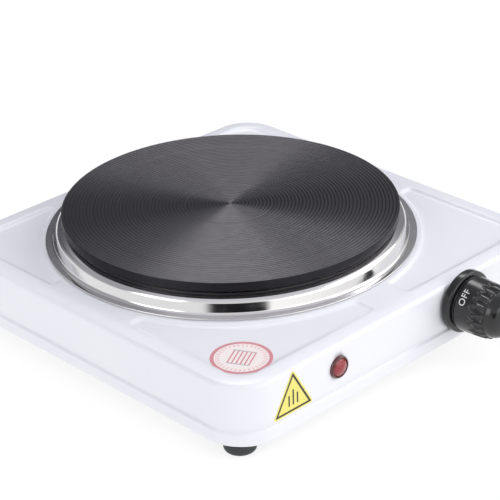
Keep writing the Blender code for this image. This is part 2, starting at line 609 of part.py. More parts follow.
def make_leads():
    """The leads inside the body, each on its own route, and the thermal fuse."""
    radius = 1.2
    live_x, neutral_x, earth_x = (BLOCK_X + k * POLE_PITCH for k in (-1, 0, 1))
    lead_y = BLOCK_Y - 4.0
    supply_tab = (KNOB_X - 9.0, FRONT_Y + 34.0 + 1.6, KNOB_Z - 8.6)
    load_tab = (KNOB_X + 9.0, FRONT_Y + 34.0 + 1.6, KNOB_Z - 8.6)
    inner_leg = element_leg(*ELEMENT_START)
    outer_leg = element_leg(*ELEMENT_END)
    leg_clip = ELEMENT_FOOT - 1.6

    tube("lead_live", smooth_path([(live_x, lead_y, 12.6), (live_x, lead_y, 20.5), (live_x, lead_y - 3, 24),
                                   (-80, 78, 23), (-76, 50, 14), (-66, -15, 11), (-10, -52, 12), (22, -58, 15),
                                   (32, -62, 18), supply_tab]), radius, LEAD_SLEEVE)
    tube("lead_neutral", smooth_path([(neutral_x, lead_y, 12.6), (neutral_x, lead_y, 20.5),
                                      (neutral_x, lead_y - 3, 24), (-67, 78, 23), (-50, 30, 15), (-30, -6, 14),
                                      (-12, -24, 20), (inner_leg[0], inner_leg[1], leg_clip)]),
         radius, LEAD_SLEEVE)
    fuse_x, fuse_y, fuse_z = 52.0, -40.0, 17.0
    tube("lead_load", smooth_path([load_tab, (53, -62, 18), (54, -56, 16.5), (fuse_x + 1, fuse_y - 8, fuse_z)]),
         radius, LEAD_SLEEVE)
    cylinder("thermal_fuse", 2.3, (fuse_x + 0.6, fuse_y - 7.6, fuse_z), (fuse_x - 1.4, fuse_y + 4.4, fuse_z),
             CERAMIC, sides=16)
    tube("lead_element", smooth_path([(fuse_x - 1.6, fuse_y + 4.8, fuse_z), (46, -26, 16), (30, -32, 15),
                                      (18, -46, 20), (outer_leg[0], outer_leg[1], leg_clip)]),
         radius, LEAD_SLEEVE)
    lamp_y = FRONT_Y + 14.6
    tube("lamp_lead_left", smooth_path([(LAMP_X - 0.9, lamp_y, LAMP_Z), (LAMP_X - 3, lamp_y + 10, 24),
                                        (-60, -60, 18), (-58, -30, 17.5), (-52, -20, 17), (-45, 4, 18.6)]),
         0.6, LEAD_SLEEVE)
    tube("lamp_lead_right", smooth_path([(LAMP_X + 0.9, lamp_y, LAMP_Z), (LAMP_X + 4, lamp_y + 8, 23),
                                         (-38, -70, 18), (-10, -66, 17), (14, -66, 16.4)]), 0.6, LEAD_SLEEVE)
    tube("lead_earth", smooth_path([(earth_x, lead_y, 12.6), (earth_x, lead_y, 20.5), (earth_x, lead_y - 3, 26),
                                    (-68, 80, 30), (-88, 68, 30), (-98, 61, 24), (-100, 60, 16.8)]),
         radius, EARTH_SLEEVE)


# ---------------------------------------------------------------- labels
def make_labels():
    """Plain labels: a triangle on the front face, a round one on a panel, a blank plate below."""
    thick = 0.3
    corners = [(-94.4, 14.8), (-70.6, 14.8), (-82.5, 35.4)]
    plate("triangle_label", fillet(corners, [1.0] * 3, 3), FRONT_Y - GAP - thick, FRONT_Y - GAP,
          YELLOW_LABEL, upright=True)
    round_x, round_y = -91.5, BODY_Y - 91.5
    low = BODY_TOP - PANEL_DEPTH + GAP
    cylinder("round_label", 15.7, (round_x, round_y, low), (round_x, round_y, low + thick), WHITE_LABEL,
             sides=40)
    plate("rating_plate", rounded_rectangle((0.0, BODY_Y - 70.0), (48.0, 26.0), 2.0, 2),
          COVER_BOTTOM - GAP - thick, COVER_BOTTOM - GAP, WHITE_LABEL)


make_top_housing()
make_bottom_cover()
make_feet()
make_trim_ring()
make_hot_plate()
make_heating_element()
make_heat_shield()
make_clamp()
make_knob()
make_control()
make_indicator()
make_supply()
make_leads()
make_labels()
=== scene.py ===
"""Single electric hot plate: the finished surfaces and materials, in a plain studio.

Sizes in the classes are millimetres, and MM turns them into Blender's metres when a mesh is made.
The frame is +Z up, with the knob at the front on -Y.
"""

import logging
import math
from dataclasses import dataclass
from enum import Enum

import bmesh
import bpy
import numpy as np
from bpy.types import Material, Mesh, Node, NodeSocket, NodeTree, Object
from mathutils import Matrix, Vector


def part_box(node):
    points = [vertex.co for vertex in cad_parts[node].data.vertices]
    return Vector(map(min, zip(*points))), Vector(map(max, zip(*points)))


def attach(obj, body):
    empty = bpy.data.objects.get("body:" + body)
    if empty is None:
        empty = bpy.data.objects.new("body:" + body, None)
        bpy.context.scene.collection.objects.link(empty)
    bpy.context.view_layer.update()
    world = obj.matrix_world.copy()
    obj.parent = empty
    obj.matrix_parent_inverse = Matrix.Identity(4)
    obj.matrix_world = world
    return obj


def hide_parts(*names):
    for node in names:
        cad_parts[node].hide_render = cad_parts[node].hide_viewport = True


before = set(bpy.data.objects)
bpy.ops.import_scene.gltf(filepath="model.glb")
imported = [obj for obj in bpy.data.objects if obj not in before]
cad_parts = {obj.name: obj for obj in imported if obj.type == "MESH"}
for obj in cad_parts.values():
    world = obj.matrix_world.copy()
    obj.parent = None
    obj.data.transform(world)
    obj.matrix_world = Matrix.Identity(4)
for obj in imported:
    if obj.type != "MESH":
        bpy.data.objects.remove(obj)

MM = 0.001
LOG = logging.getLogger("hot_plate")
Colour = tuple[float, float, float]
Point = tuple[float, float, float]


class Body(Enum):
    """The bodies that pieces ride on."""

    ROOT = "root"
    KNOB = "control_knob"


class Slot(Enum):
    """The record's material slots, by name; no new piece here is given one."""

    ENAMEL = "white_enamel"
    IRON = "cast_iron"
    POLISHED = "polished_steel"
    PLASTIC = "black_plastic"
    RED = "red_lens"
    RUBBER = "rubber"
    YELLOW = "yellow_label"
    LABEL = "white_label"


class Axis(Enum):
    """Which way a turned piece's axis points, as its (across, upright, along) directions."""

    UP = ((1, 0, 0), (0, 1, 0), (0, 0, 1))
    FRONT = ((1, 0, 0), (0, 0, 1), (0, -1, 0))
    BACK = ((-1, 0, 0), (0, 0, 1), (0, 1, 0))


# ---------------------------------------------------------------- places read from the frame
def middle(node: str) -> np.ndarray:
    """Middle of a CAD node's box, in millimetres."""
    low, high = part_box(node)
    return (np.array(low) + np.array(high)) / 2 / MM


def lowest(node: str) -> np.ndarray:
    """Lowest corner of a CAD node's box, in millimetres."""
    return np.array(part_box(node)[0]) / MM


def highest(node: str) -> np.ndarray:
    """Highest corner of a CAD node's box, in millimetres."""
    return np.array(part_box(node)[1]) / MM


# ---------------------------------------------------------------- shape tools
def smoothstep(share: np.ndarray) -> np.ndarray:
    """Ease from 0 to 1: 3t^2 - 2t^3, with t held between 0 and 1."""
    held = np.clip(share, 0.0, 1.0)
    return held * held * (3.0 - 2.0 * held)


def rounded_profile(corners: list[tuple[float, float, float]], steps: int = 5) -> np.ndarray:
    """Round the corners of an open profile.

    Each corner becomes a quadratic Bezier arc from `cut` before it to `cut` after it, with the
    corner itself as the arc's control point.

    Args:
        corners: (radius, height, cut) of each corner; a cut of 0 keeps the corner sharp.
        steps: segments in each rounded corner.

    Returns:
        An array of (radius, height) rows.
    """
    places = np.array([corner[:2] for corner in corners], float)
    t = np.linspace(0.0, 1.0, steps + 1)[:, None]
    rows = []
    for k, (_, _, cut) in enumerate(corners):
        if not cut:
            rows.append(places[k:k + 1])
            continue
        before, here, after = places[k - 1], places[k], places[k + 1]
        start = here + (before - here) / np.linalg.norm(before - here) * cut
        stop = here + (after - here) / np.linalg.norm(after - here) * cut
        rows.append((1 - t) ** 2 * start + 2 * t * (1 - t) * here + t ** 2 * stop)
    return np.concatenate(rows)


def turned(radius: np.ndarray, along: np.ndarray, place: Point, axis: Axis,
           columns: int) -> np.ndarray:
    """Turn a profile round an axis: point = place + r cos(a) across + r sin(a) upright + s along.

    Args:
        radius: one radius for each row, or one for each row and column.
        along: distance of each row along the axis.
        place: where the axis starts.
        axis: which way it points.
        columns: steps round the axis.

    Returns:
        A grid of points, rows by columns by 3.
    """
    across, upright, forward = (np.array(direction, float) for direction in axis.value)
    angle = np.linspace(0.0, 2 * np.pi, columns, endpoint=False)[:, None]
    outward = np.cos(angle) * across + np.sin(angle) * upright
    reach = np.broadcast_to(radius if radius.ndim == 2 else radius[:, None], (len(along), columns))
    return np.array(place) + reach[..., None] * outward + along[:, None, None] * forward


def build_mesh(name: str, points: np.ndarray, faces: list[np.ndarray],
               sharp: float) -> Object:
    """Make an object from points in millimetres and arrays of faces with 3 or 4 corners each.

    The closed surface's volume is summed from its faces, and a negative one turns them all round.

    Args:
        name: the piece's name.
        points: places, one row each.
        faces: arrays of point numbers, one row for each face.
        sharp: angle in degrees past which an edge stays crisp.

    Returns:
        The new object, linked to the scene.
    """
    volume = 0.0
    for block in faces:
        for k in range(1, block.shape[1] - 1):
            a, b, c = points[block[:, 0]], points[block[:, k]], points[block[:, k + 1]]
            volume += float(np.einsum("ij,ij->i", a, np.cross(b, c)).sum())
    if volume < 0:
        faces = [block[:, ::-1] for block in faces]
    totals = np.concatenate([np.full(len(block), block.shape[1]) for block in faces])
    corners = np.concatenate([block.ravel() for block in faces])
    mesh = bpy.data.meshes.new(name)
    mesh.vertices.add(len(points))
    mesh.vertices.foreach_set("co", (points * MM).astype(np.float32).ravel())
    mesh.loops.add(len(corners))
    mesh.loops.foreach_set("vertex_index", corners.astype(np.int32))
    mesh.polygons.add(len(totals))
    mesh.polygons.foreach_set("loop_start", (np.cumsum(totals) - totals).astype(np.int32))
    mesh.polygons.foreach_set("loop_total", totals.astype(np.int32))
    mesh.update(calc_edges=True)
    mesh.validate()
    mesh.shade_smooth()
    mesh.set_sharp_from_angle(angle=math.radians(sharp))
    piece = bpy.data.objects.new(name, mesh)
    bpy.context.scene.collection.objects.link(piece)
    return piece


def surface(name: str, grid: np.ndarray, loop_rows: bool = False,
            sharp: float = 40.0) -> Object:
    """Skin a grid whose columns run right round: point (i, j) joins (i, j + 1) and (i + 1, j).

    A first or last row that has shrunk to one place becomes a pole, closed with triangles.

    Args:
        name: the piece's name.
        grid: rows by columns by 3, in millimetres.
        loop_rows: join the last row back to the first.
        sharp: angle in degrees past which an edge stays crisp.

    Returns:
        The new object.
    """
    rows, columns, _ = grid.shape
    poles = [not loop_rows and float(np.ptp(grid[end], axis=0).max()) < 1e-6 for end in (0, -1)]
    ring = grid[int(poles[0]):rows - int(poles[1])]
    count = len(ring)
    number = np.arange(count * columns).reshape(count, columns)
    beside = np.roll(number, -1, axis=1)
    last = count if loop_rows else count - 1
    below, below_beside = np.roll(number, -1, axis=0), np.roll(beside, -1, axis=0)
    quads = [number[:last], beside[:last], below_beside[:last], below[:last]]
    points, faces = [ring.reshape(-1, 3)], [np.stack(quads, axis=-1).reshape(-1, 4)]
    for at_end, pole in enumerate(poles):
        if not pole:
            continue
        tip = np.full(columns, count * columns + len(points) - 1)
        edge = number[-1] if at_end else number[0]
        fan = [edge, np.roll(edge, -1), tip] if at_end else [np.roll(edge, -1), edge, tip]
        faces.append(np.stack(fan, axis=-1))
        points.append(grid[-1, :1] if at_end else grid[0, :1])
    return build_mesh(name, np.concatenate(points), faces, sharp)


def lathe(name: str, profile: np.ndarray, place: Point, axis: Axis, columns: int,
          loop_rows: bool = True, sharp: float = 40.0) -> Object:
    """Turn (radius, along) rows into a piece.

    Args:
        name: the piece's name.
        profile: the rows, from the tip back into the piece.
        place: where the axis starts.
        axis: which way it points.
        columns: steps round the axis.
        loop_rows: the piece has a bore, and its last row joins its first.
        sharp: angle in degrees past which an edge stays crisp.

    Returns:
        The new object.
    """
    return surface(name, turned(*profile.T, place, axis, columns), loop_rows, sharp)


def flat_plate(name: str, outline: np.ndarray, low: float, high: float, upright: bool,
               inner: np.ndarray | None = None) -> Object:
    """A thin plate with a given outline, solid or with an opening of as many points.

    Rows of the grid run from the opening, or the middle, over the top to the rim and back below.

    Args:
        name: the piece's name.
        outline: (u, v) points, in order.
        low: where its back lies, along Z, or along Y for an upright plate.
        high: where its face lies.
        upright: stand the plate along X and Z instead of laying it on X and Y.
        inner: outline of the opening.

    Returns:
        The new object.
    """
    core = np.broadcast_to(outline.mean(axis=0), outline.shape) if inner is None else inner
    loops = [(core, high), (outline, high), (outline, low), (core, low)]
    grid = np.stack([np.column_stack([uv, np.full(len(uv), level)]) for uv, level in loops])
    if upright:
        grid = grid[..., [0, 2, 1]]
    return surface(name, grid, loop_rows=inner is not None, sharp=30.0)


def circle(centre: np.ndarray, radius: float, count: int = 96) -> np.ndarray:
    """Points (u, v) of a circle."""
    angle = np.linspace(0.0, 2 * np.pi, count, endpoint=False)
    return centre + radius * np.column_stack([np.cos(angle), np.sin(angle)])


def strip(middle_point: np.ndarray, reach: np.ndarray, width: float) -> np.ndarray:
    """Outline of a straight strip that runs `reach` to either side of its middle."""
    side = np.array([-reach[1], reach[0]]) / np.linalg.norm(reach) * width / 2
    start, stop = middle_point - reach, middle_point + reach
    return np.array([start - side, stop - side, stop + side, start + side])


def settled_mesh(piece: Object) -> Mesh:
    """A new mesh of a piece with its modifiers, or its text, worked out."""
    graph = bpy.context.evaluated_depsgraph_get()
    return bpy.data.meshes.new_from_object(piece.evaluated_get(graph))


def fit(piece: Object, finish: Material, body: Body = Body.ROOT,
        nodes: tuple[str, ...] = ()) -> None:
    """Dress a piece, ride it on its body and let it stand for CAD nodes.

    Args:
        piece: the piece, at the origin with its place in its mesh.
        finish: its material.
        body: the body that it moves with.
        nodes: the CAD nodes that it replaces.
    """
    piece.data.materials.clear()
    piece.data.materials.append(finish)
    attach(piece, body.value)
    if nodes:
        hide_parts(*nodes)
    LOG.info("%s: %d faces, on %s", piece.name, len(piece.data.polygons), body.value)


# ---------------------------------------------------------------- finishes
class Nodes:
    """A node tree, with short calls for the nodes that the finishes and the surroundings share."""

    def __init__(self, tree: NodeTree) -> None:
        """Work in a given tree."""
        self.tree = tree

    def node(self, kind: str, **settings: object) -> Node:
        """Add a node and set its properties."""
        made = self.tree.nodes.new(kind)
        for key, value in settings.items():
            setattr(made, key, value)
        return made

    def link(self, output: NodeSocket, target: NodeSocket) -> None:
        """Link two sockets."""
        self.tree.links.new(output, target)

    def number(self, operation: str, *values: float | NodeSocket) -> NodeSocket:
        """A sum on one or two numbers."""
        made = self.node("ShaderNodeMath", operation=operation)
        for value, target in zip(values, made.inputs):
            if isinstance(value, NodeSocket):
                self.link(value, target)
            else:
                target.default_value = value
        return made.outputs[0]

    def span(self, value: NodeSocket, low: float, high: float, start: float = 0.0,
             stop: float = 1.0) -> NodeSocket:
        """Map a value from start..stop to low..high, held at the ends."""
        made = self.node("ShaderNodeMapRange")
        for key, number in (("From Min", start), ("From Max", stop), ("To Min", low), ("To Max", high)):
            made.inputs[key].default_value = number
        self.link(value, made.inputs["Value"])
        return made.outputs["Result"]

    def blend(self, share: NodeSocket, first: Colour | NodeSocket,
              second: Colour | NodeSocket) -> NodeSocket:
        """Mix two colours."""
        made = self.node("ShaderNodeMix", data_type="RGBA")
        self.link(share, made.inputs[0])
        for value, target in ((first, made.inputs[6]), (second, made.inputs[7])):
            if isinstance(value, NodeSocket):
                self.link(value, target)
            else:
                target.default_value = (*value, 1.0)
        return made.outputs[2]


class Recipe(Nodes):
    """A material, with short calls for the patterns that the finishes share."""

    def __init__(self, name: str, colour: Colour, roughness: float, metallic: float = 0.0) -> None:
        """Start a material from its plain shader values."""
        self.material = bpy.data.materials.new(name)
        self.material.use_nodes = True
        super().__init__(self.material.node_tree)
        self.shader = self.tree.nodes["Principled BSDF"]
        self.set(**{"Base Color": (*colour, 1.0), "Roughness": roughness, "Metallic": metallic})
        self.height: NodeSocket | None = None
        self.material.diffuse_color = (*colour, 1.0)

    def set(self, **values: float | tuple) -> None:
        """Set constants on the shader's own sockets; an underscore in a key stands for a space."""
        for key, value in values.items():
            self.shader.inputs[key.replace("_", " ")].default_value = value

    def place(self, centre: Point = (0.0, 0.0, 0.0),
              stretch: Point = (1.0, 1.0, 1.0)) -> NodeSocket:
        """Object coordinates, centred on a place in millimetres and stretched."""
        coordinates = self.node("ShaderNodeTexCoord")
        mapping = self.node("ShaderNodeMapping", vector_type="POINT")
        mapping.inputs["Location"].default_value = [-c * MM * s for c, s in zip(centre, stretch)]
        mapping.inputs["Scale"].default_value = stretch
        self.link(coordinates.outputs["Object"], mapping.inputs["Vector"])
        return mapping.outputs["Vector"]

    def noise(self, place: NodeSocket, grain: float,
              detail: float = 3.0) -> NodeSocket:
        """Noise from 0 to 1 whose patches are about `grain` millimetres across."""
        made = self.node("ShaderNodeTexNoise")
        made.inputs["Scale"].default_value = 1.0 / (grain * MM)
        made.inputs["Detail"].default_value = detail
        self.link(place, made.inputs["Vector"])
        return made.outputs["Fac"]

    def rings(self, place: NodeSocket, pitch: float,
              first: float = 0.0) -> NodeSocket:
        """Waves from 0 to 1 in rings round Z, `pitch` millimetres apart, lowest at `first`."""
        made = self.node("ShaderNodeTexWave", wave_type="RINGS", rings_direction="Z",
                         wave_profile="SIN")
        made.inputs["Scale"].default_value = 2 * math.pi / (20.0 * pitch * MM)
        made.inputs["Distortion"].default_value = 0.0
        made.inputs["Phase Offset"].default_value = -2 * math.pi * first / pitch
        self.link(place, made.inputs["Vector"])
        return made.outputs["Fac"]

    def colour(self, socket: NodeSocket) -> None:
        """Colour the surface."""
        self.link(socket, self.shader.inputs["Base Color"])

    def roughness(self, value: NodeSocket, low: float, high: float) -> None:
        """Vary the roughness between two values with a pattern."""
        self.link(self.span(value, low, high, 0.3, 0.7), self.shader.inputs["Roughness"])

    def relief(self, value: NodeSocket, depth: float, strength: float = 1.0) -> None:
        """Raise the surface by a pattern `depth` millimetres deep, on top of any earlier relief."""
        bump = self.node("ShaderNodeBump")
        bump.inputs["Distance"].default_value = depth * MM
        bump.inputs["Strength"].default_value = strength
        self.link(value, bump.inputs["Height"])
        if self.height is not None:
            self.link(self.height, bump.inputs["Normal"])
        self.height = bump.outputs["Normal"]
        self.link(self.height, self.shader.inputs["Normal"])

    def distance(self, place: NodeSocket) -> NodeSocket:
        """Distance from a place, in metres."""
        length = self.node("ShaderNodeVectorMath", operation="LENGTH")
        self.link(place, length.inputs[0])
        return length.outputs["Value"]

    def turned_grain(self, place: NodeSocket, amount: float) -> None:
        """Stretch highlights along the radius of a turned face, whose axis is the place's Z axis."""
        flat = self.node("ShaderNodeVectorMath", operation="MULTIPLY")
        flat.inputs[1].default_value = (1.0, 1.0, 0.0)
        self.link(place, flat.inputs[0])
        unit = self.node("ShaderNodeVectorMath", operation="NORMALIZE")
        self.link(flat.outputs["Vector"], unit.inputs[0])
        self.link(unit.outputs["Vector"], self.shader.inputs["Tangent"])
        self.set(Anisotropic=amount)


@dataclass(frozen=True)
class Enamel:
    """Glossy white enamel with a faint orange peel and a slow drift of tone."""

    colour: Colour = (0.80, 0.805, 0.86)
    warm: Colour = (0.82, 0.82, 0.865)

    def make(self) -> Material:
        """Build the material."""
        mix = Recipe("enamel", self.colour, 0.3)
        here = mix.place()
        mix.colour(mix.blend(mix.noise(here, 45.0, 2.0), self.colour, self.warm))
        mix.roughness(mix.noise(here, 12.0), 0.29, 0.38)
        mix.relief(mix.noise(here, 9.0, 1.0), 0.006, 0.3)
        mix.relief(mix.noise(here, 26.0, 1.0), 0.03, 0.4)
        mix.set(Coat_Weight=0.35, Coat_Roughness=0.12)
        return mix.material


@dataclass(frozen=True)
class TurnedIron:
    """Blackened cast iron, turned on a lathe: a radial sheen, fine tool lines and a cast grain,
    with painted shade as a dark line along the bottom of the turned grooves.

    Past the face's edge radius (mm) the sheen gives way to a duller, darker rim: painted shade on
    the plate's side, down in the gap to the trim ring.
    """

    centre: Point
    colour: Colour = (0.132, 0.128, 0.138)
    pale: Colour = (0.162, 0.157, 0.168)
    # Painted shade: the dark line laid along the bottom of the turned grooves.
    groove_shade: Colour = (0.052, 0.050, 0.056)
    groove_pitch: float = 1.967
    groove_bottom: float = 4.13
    # Painted shade for the plate's side, down in the gap to the trim ring.
    rim: Colour = (0.030, 0.030, 0.034)
    edge: float = 91.9
    grain: float = 0.95

    def make(self, name: str) -> Material:
        """Build the material under a name."""
        mix = Recipe(name, self.colour, 0.42, 1.0)
        here = mix.place(self.centre)
        out = mix.distance(mix.place(self.centre, (1.0, 1.0, 0.0)))
        # Past the edge radius the colour turns to the rim's painted shade.
        past = mix.span(out, 0.0, 1.0, self.edge * MM, (self.edge + 0.4) * MM)
        skin = mix.blend(mix.noise(here, 0.8, 4.0), self.colour, self.pale)
        # Painted shade: a dark line along the bottom of the grooves, one pitch apart.
        line = mix.span(mix.rings(here, self.groove_pitch, self.groove_bottom), 0.85, 0.0, 0.0, 0.42)
        mix.colour(mix.blend(past, mix.blend(line, skin, self.groove_shade), self.rim))
        mix.roughness(mix.noise(here, 5.0), 0.34, 0.42)
        mix.relief(mix.rings(here, 0.43), 0.004, 0.4)
        mix.relief(mix.noise(here, 0.5, 2.0), 0.006, 0.3)
        mix.turned_grain(here, self.grain)
        return mix.material


@dataclass(frozen=True)
class BrightSteel:
    """Polished stainless steel with faint spinning lines."""

    centre: Point

    def make(self) -> Material:
        """Build the material."""
        mix = Recipe("bright_steel", (0.72, 0.71, 0.70), 0.1, 1.0)
        here = mix.place(self.centre)
        mix.colour(mix.blend(mix.noise(here, 30.0), (0.70, 0.69, 0.68), (0.76, 0.75, 0.75)))
        mix.roughness(mix.noise(here, 9.0), 0.07, 0.15)
        mix.relief(mix.rings(here, 0.61), 0.0012, 0.35)
        mix.relief(mix.noise(here, 14.0, 1.0), 0.05, 0.35)
        return mix.material


@dataclass(frozen=True)
class Metal:
    """Plain plated or rolled metal with a mottled tone and fine scratches along X."""

    name: str
    colour: Colour
    pale: Colour
    roughness: tuple[float, float]

    def make(self) -> Material:
        """Build the material."""
        mix = Recipe(self.name, self.colour, self.roughness[0], 1.0)
        here = mix.place()
        mix.colour(mix.blend(mix.noise(here, 6.0, 4.0), self.colour, self.pale))
        mix.roughness(mix.noise(here, 3.0), *self.roughness)
        mix.relief(mix.noise(mix.place(stretch=(0.06, 1.0, 1.0)), 0.5, 2.0), 0.004, 0.4)
        return mix.material


@dataclass(frozen=True)
class Moulding:
    """A moulded or fired material with a grained surface."""

    name: str
    colour: Colour
    pale: Colour
    roughness: tuple[float, float]
    grain: float = 0.6
    depth: float = 0.006
    coat: float = 0.0

    def make(self) -> Material:
        """Build the material."""
        mix = Recipe(self.name, self.colour, self.roughness[0])
        here = mix.place()
        mix.colour(mix.blend(mix.noise(here, self.grain * 8, 3.0), self.colour, self.pale))
        mix.roughness(mix.noise(here, self.grain * 5), *self.roughness)
        mix.relief(mix.noise(here, self.grain, 2.0), self.depth, 0.6)
        mix.set(Coat_Weight=self.coat, Coat_Roughness=0.08)
        return mix.material


@dataclass(frozen=True)
class Fibre:
    """Felted or braided fibre: streaks drawn out along one direction, crossed by finer ones."""

    name: str
    colour: Colour
    dark: Colour
    pitch: float
    depth: float

    def make(self) -> Material:
        """Build the material."""
        mix = Recipe(self.name, self.colour, 0.85)
        along = mix.noise(mix.place(stretch=(0.25, 1.0, 1.0)), self.pitch, 4.0)
        across = mix.noise(mix.place(stretch=(1.0, 0.25, 1.0)), self.pitch, 4.0)
        mix.colour(mix.blend(mix.span(along, 0.0, 1.0, 0.35, 0.65), self.dark, self.colour))
        mix.relief(along, self.depth, 0.8)
        mix.relief(across, self.depth, 0.8)
        mix.set(Sheen_Weight=0.3)
        return mix.material


@dataclass(frozen=True)
class Lens:
    """Clear tinted plastic or glass with light inside it."""

    name: str
    colour: Colour
    deep: Colour
    through: float

    def make(self) -> Material:
        """Build the material."""
        mix = Recipe(self.name, self.colour, 0.12)
        here = mix.place()
        mix.colour(mix.blend(mix.noise(here, 1.5, 2.0), self.deep, self.colour))
        mix.roughness(mix.noise(here, 2.0), 0.08, 0.16)
        mix.relief(mix.noise(here, 1.2, 1.0), 0.01, 0.3)
        mix.set(Transmission_Weight=self.through, Coat_Weight=0.6, Coat_Roughness=0.05, IOR=1.49)
        return mix.material


@dataclass(frozen=True)
class Print:
    """Printed film: ink over a satin foil, with a little unevenness in the ink."""

    name: str
    colour: Colour
    thin: Colour

    def make(self) -> Material:
        """Build the material."""
        mix = Recipe(self.name, self.colour, 0.35)
        here = mix.place()
        mix.colour(mix.blend(mix.noise(here, 1.1, 4.0), self.colour, self.thin))
        mix.roughness(mix.noise(here, 4.0), 0.3, 0.42)
        mix.relief(mix.noise(here, 2.2, 1.0), 0.006, 0.4)
        return mix.material


# ---------------------------------------------------------------- body
@dataclass
class Housing:
    """The pressed and enamelled steel body: top with four recessed panels, sides and hem."""

    half: float = 118.0
    corner: float = 22.0
    rounding: float = 2.8
    crown: float = 0.5
    crown_start: float = 9.0
    sheet: float = 1.0
    hem_step: float = 0.8
    hem_height: float = 7.0
    joggle: float = 0.9
    hem_groove: float = 0.3
    panel_depth: float = 1.3
    panel_slope: float = 3.0
    panel_lead: float = 0.35
    panel_half: float = 108.5
    panel_arc: float = 104.0
    panel_corner: float = 13.0
    panel_end_corner: float = 3.5
    front_end: tuple[float, float] = (11.5, -25.5)
    rear_end: tuple[float, float] = (48.0, 33.0)
    hole: float = 95.0
    drilled: tuple[tuple[str, float], ...] = (
        ("spindle_bush", 5.0), ("indicator_bezel", 5.2), ("cord_gland", 6.6))
    columns: int = 620

    def __post_init__(self) -> None:
        """Read the body's height and place from the frame."""
        low, high = lowest("top_housing"), highest("top_housing")
        self.bottom, self.top = float(low[2]), float(high[2])
        self.centre = np.array([0.0, (low[1] + high[1]) / 2])
        self.plate_axis = middle("hot_plate")[:2] - self.centre

    def outline(self, along: np.ndarray, inset: np.ndarray | float) -> np.ndarray:
        """Points of the body's rounded square, moved in by `inset`.

        One side runs up +Y at x = half - inset, then a quarter circle of radius corner - inset
        follows, and each further side is the first one turned by 90 degrees.

        Args:
            along: distance round the outer outline, 0 to its whole length.
            inset: how far in, one number or one for each point.

        Returns:
            (x, y) rows about the body's middle.
        """
        straight = 2 * (self.half - self.corner)
        side_length = straight + self.corner * np.pi / 2
        side, local = np.divmod(along, side_length)
        turn = np.clip((local - straight) / self.corner, 0.0, None)
        radius = self.corner - inset
        x = self.half - self.corner + radius * np.cos(turn)
        y = np.minimum(local, straight) - straight / 2 + radius * np.sin(turn)
        angle = side * np.pi / 2
        cos, sin = np.cos(angle), np.sin(angle)
        return np.column_stack([x * cos - y * sin, x * sin + y * cos])

    def depth_inside(self, xy: np.ndarray) -> np.ndarray:
        """How far points lie inside the outline: corner less the distance to its core square."""
        reach = np.abs(xy) - (self.half - self.corner)
        outside = np.linalg.norm(np.maximum(reach, 0.0), axis=-1)
        return self.corner - outside - np.minimum(reach.max(axis=-1), 0.0)

    def panel_distance(self, xy: np.ndarray, grow: float) -> np.ndarray:
        """Distance to the nearest panel's outline, negative inside it.

        A panel is a rectangle with round corners cut by a circle round the plate, and the cut's
        own corners are rounded by the same rule as an intersection of two distances: the length
        of the two excesses, less the radius.

        Args:
            xy: points about the body's middle.
            grow: moves every outline out.

        Returns:
            One distance for each point.
        """
        side = np.abs(xy[..., 0])
        arc = self.panel_arc - grow - np.linalg.norm(xy - self.plate_axis, axis=-1)
        nearest = np.full(side.shape, np.inf)
        for end, (end_x, end_y) in ((-1, self.front_end), (1, self.rear_end)):
            low = np.array([end_x - grow, end * end_y - grow])
            high = np.full(2, self.panel_half + grow)
            offset = np.stack([side, end * xy[..., 1]], axis=-1) - (low + high) / 2
            outer = (offset > 0).all(axis=-1)
            radius = np.where(outer, self.panel_corner, self.panel_end_corner) + grow
            excess = np.abs(offset) - (high - low) / 2 + radius[..., None]
            beyond = np.linalg.norm(np.maximum(excess, 0.0), axis=-1)
            box = beyond + np.minimum(excess.max(axis=-1), 0.0) - radius
            soft = self.panel_end_corner
            both = np.stack([box, arc], axis=-1)
            past = np.linalg.norm(np.maximum(both + soft, 0.0), axis=-1)
            nearest = np.minimum(nearest, np.minimum(both.max(axis=-1), -soft) + past)
        return nearest

    def fall(self, xy: np.ndarray, grow: float = 0.0) -> np.ndarray:
        """How far the top is pressed down.

        The panel's depth is eased in across its slope. Near the outer edge the land dips too, by
        the crown times the square of the share of the way from the crown's start to the edge.
        """
        inside = self.panel_lead - self.panel_distance(xy, grow)
        pressed = self.panel_depth * smoothstep(inside / self.panel_slope)
        way = (self.crown_start - self.depth_inside(xy)) / (self.crown_start - self.rounding)
        return pressed + self.crown * np.clip(way, 0.0, 1.0) ** 2

    def column_places(self) -> np.ndarray:
        """Distances round the outline, packed closely where a panel's end crosses the rays.

        The density of columns is a steady one plus a raised patch at each end; its running sum
        is inverted to place them.
        """
        length = 4 * (2 * (self.half - self.corner) + self.corner * np.pi / 2)
        spacing, raised, samples = 2.8, 2.2, 6000
        margin = math.radians(1.6)
        fine = np.linspace(0.0, length, samples)
        ray = self.outline(np.mod(fine, length - 1e-9), self.rounding) - self.plate_axis
        angle = np.arctan2(ray[:, 1], ray[:, 0])
        density = np.full(samples, 1.0 / spacing)
        for end, (end_x, end_y) in ((-1, self.front_end), (1, self.rear_end)):
            rise = end * self.panel_half - self.plate_axis[1]
            across = end_y - self.plate_axis[1]
            arc_rise = end * math.sqrt(self.panel_arc ** 2 - end_x ** 2)
            arc_across = math.sqrt(self.panel_arc ** 2 - across ** 2)
            for side in (-1, 1):
                for ends in (((side * end_x, rise), (side * end_x, arc_rise)),
                             ((side * self.panel_half, across), (side * arc_across, across))):
                    low, high = sorted(math.atan2(y, x) for x, y in ends)
                    near = (angle > low - margin) & (angle < high + margin)
                    density += np.where(near, raised, 0.0)
        total = np.concatenate([[0.0], np.cumsum((density[1:] + density[:-1]) / 2)])
        shares = np.arange(self.columns) / self.columns * total[-1]
        return np.interp(shares, total, fine)

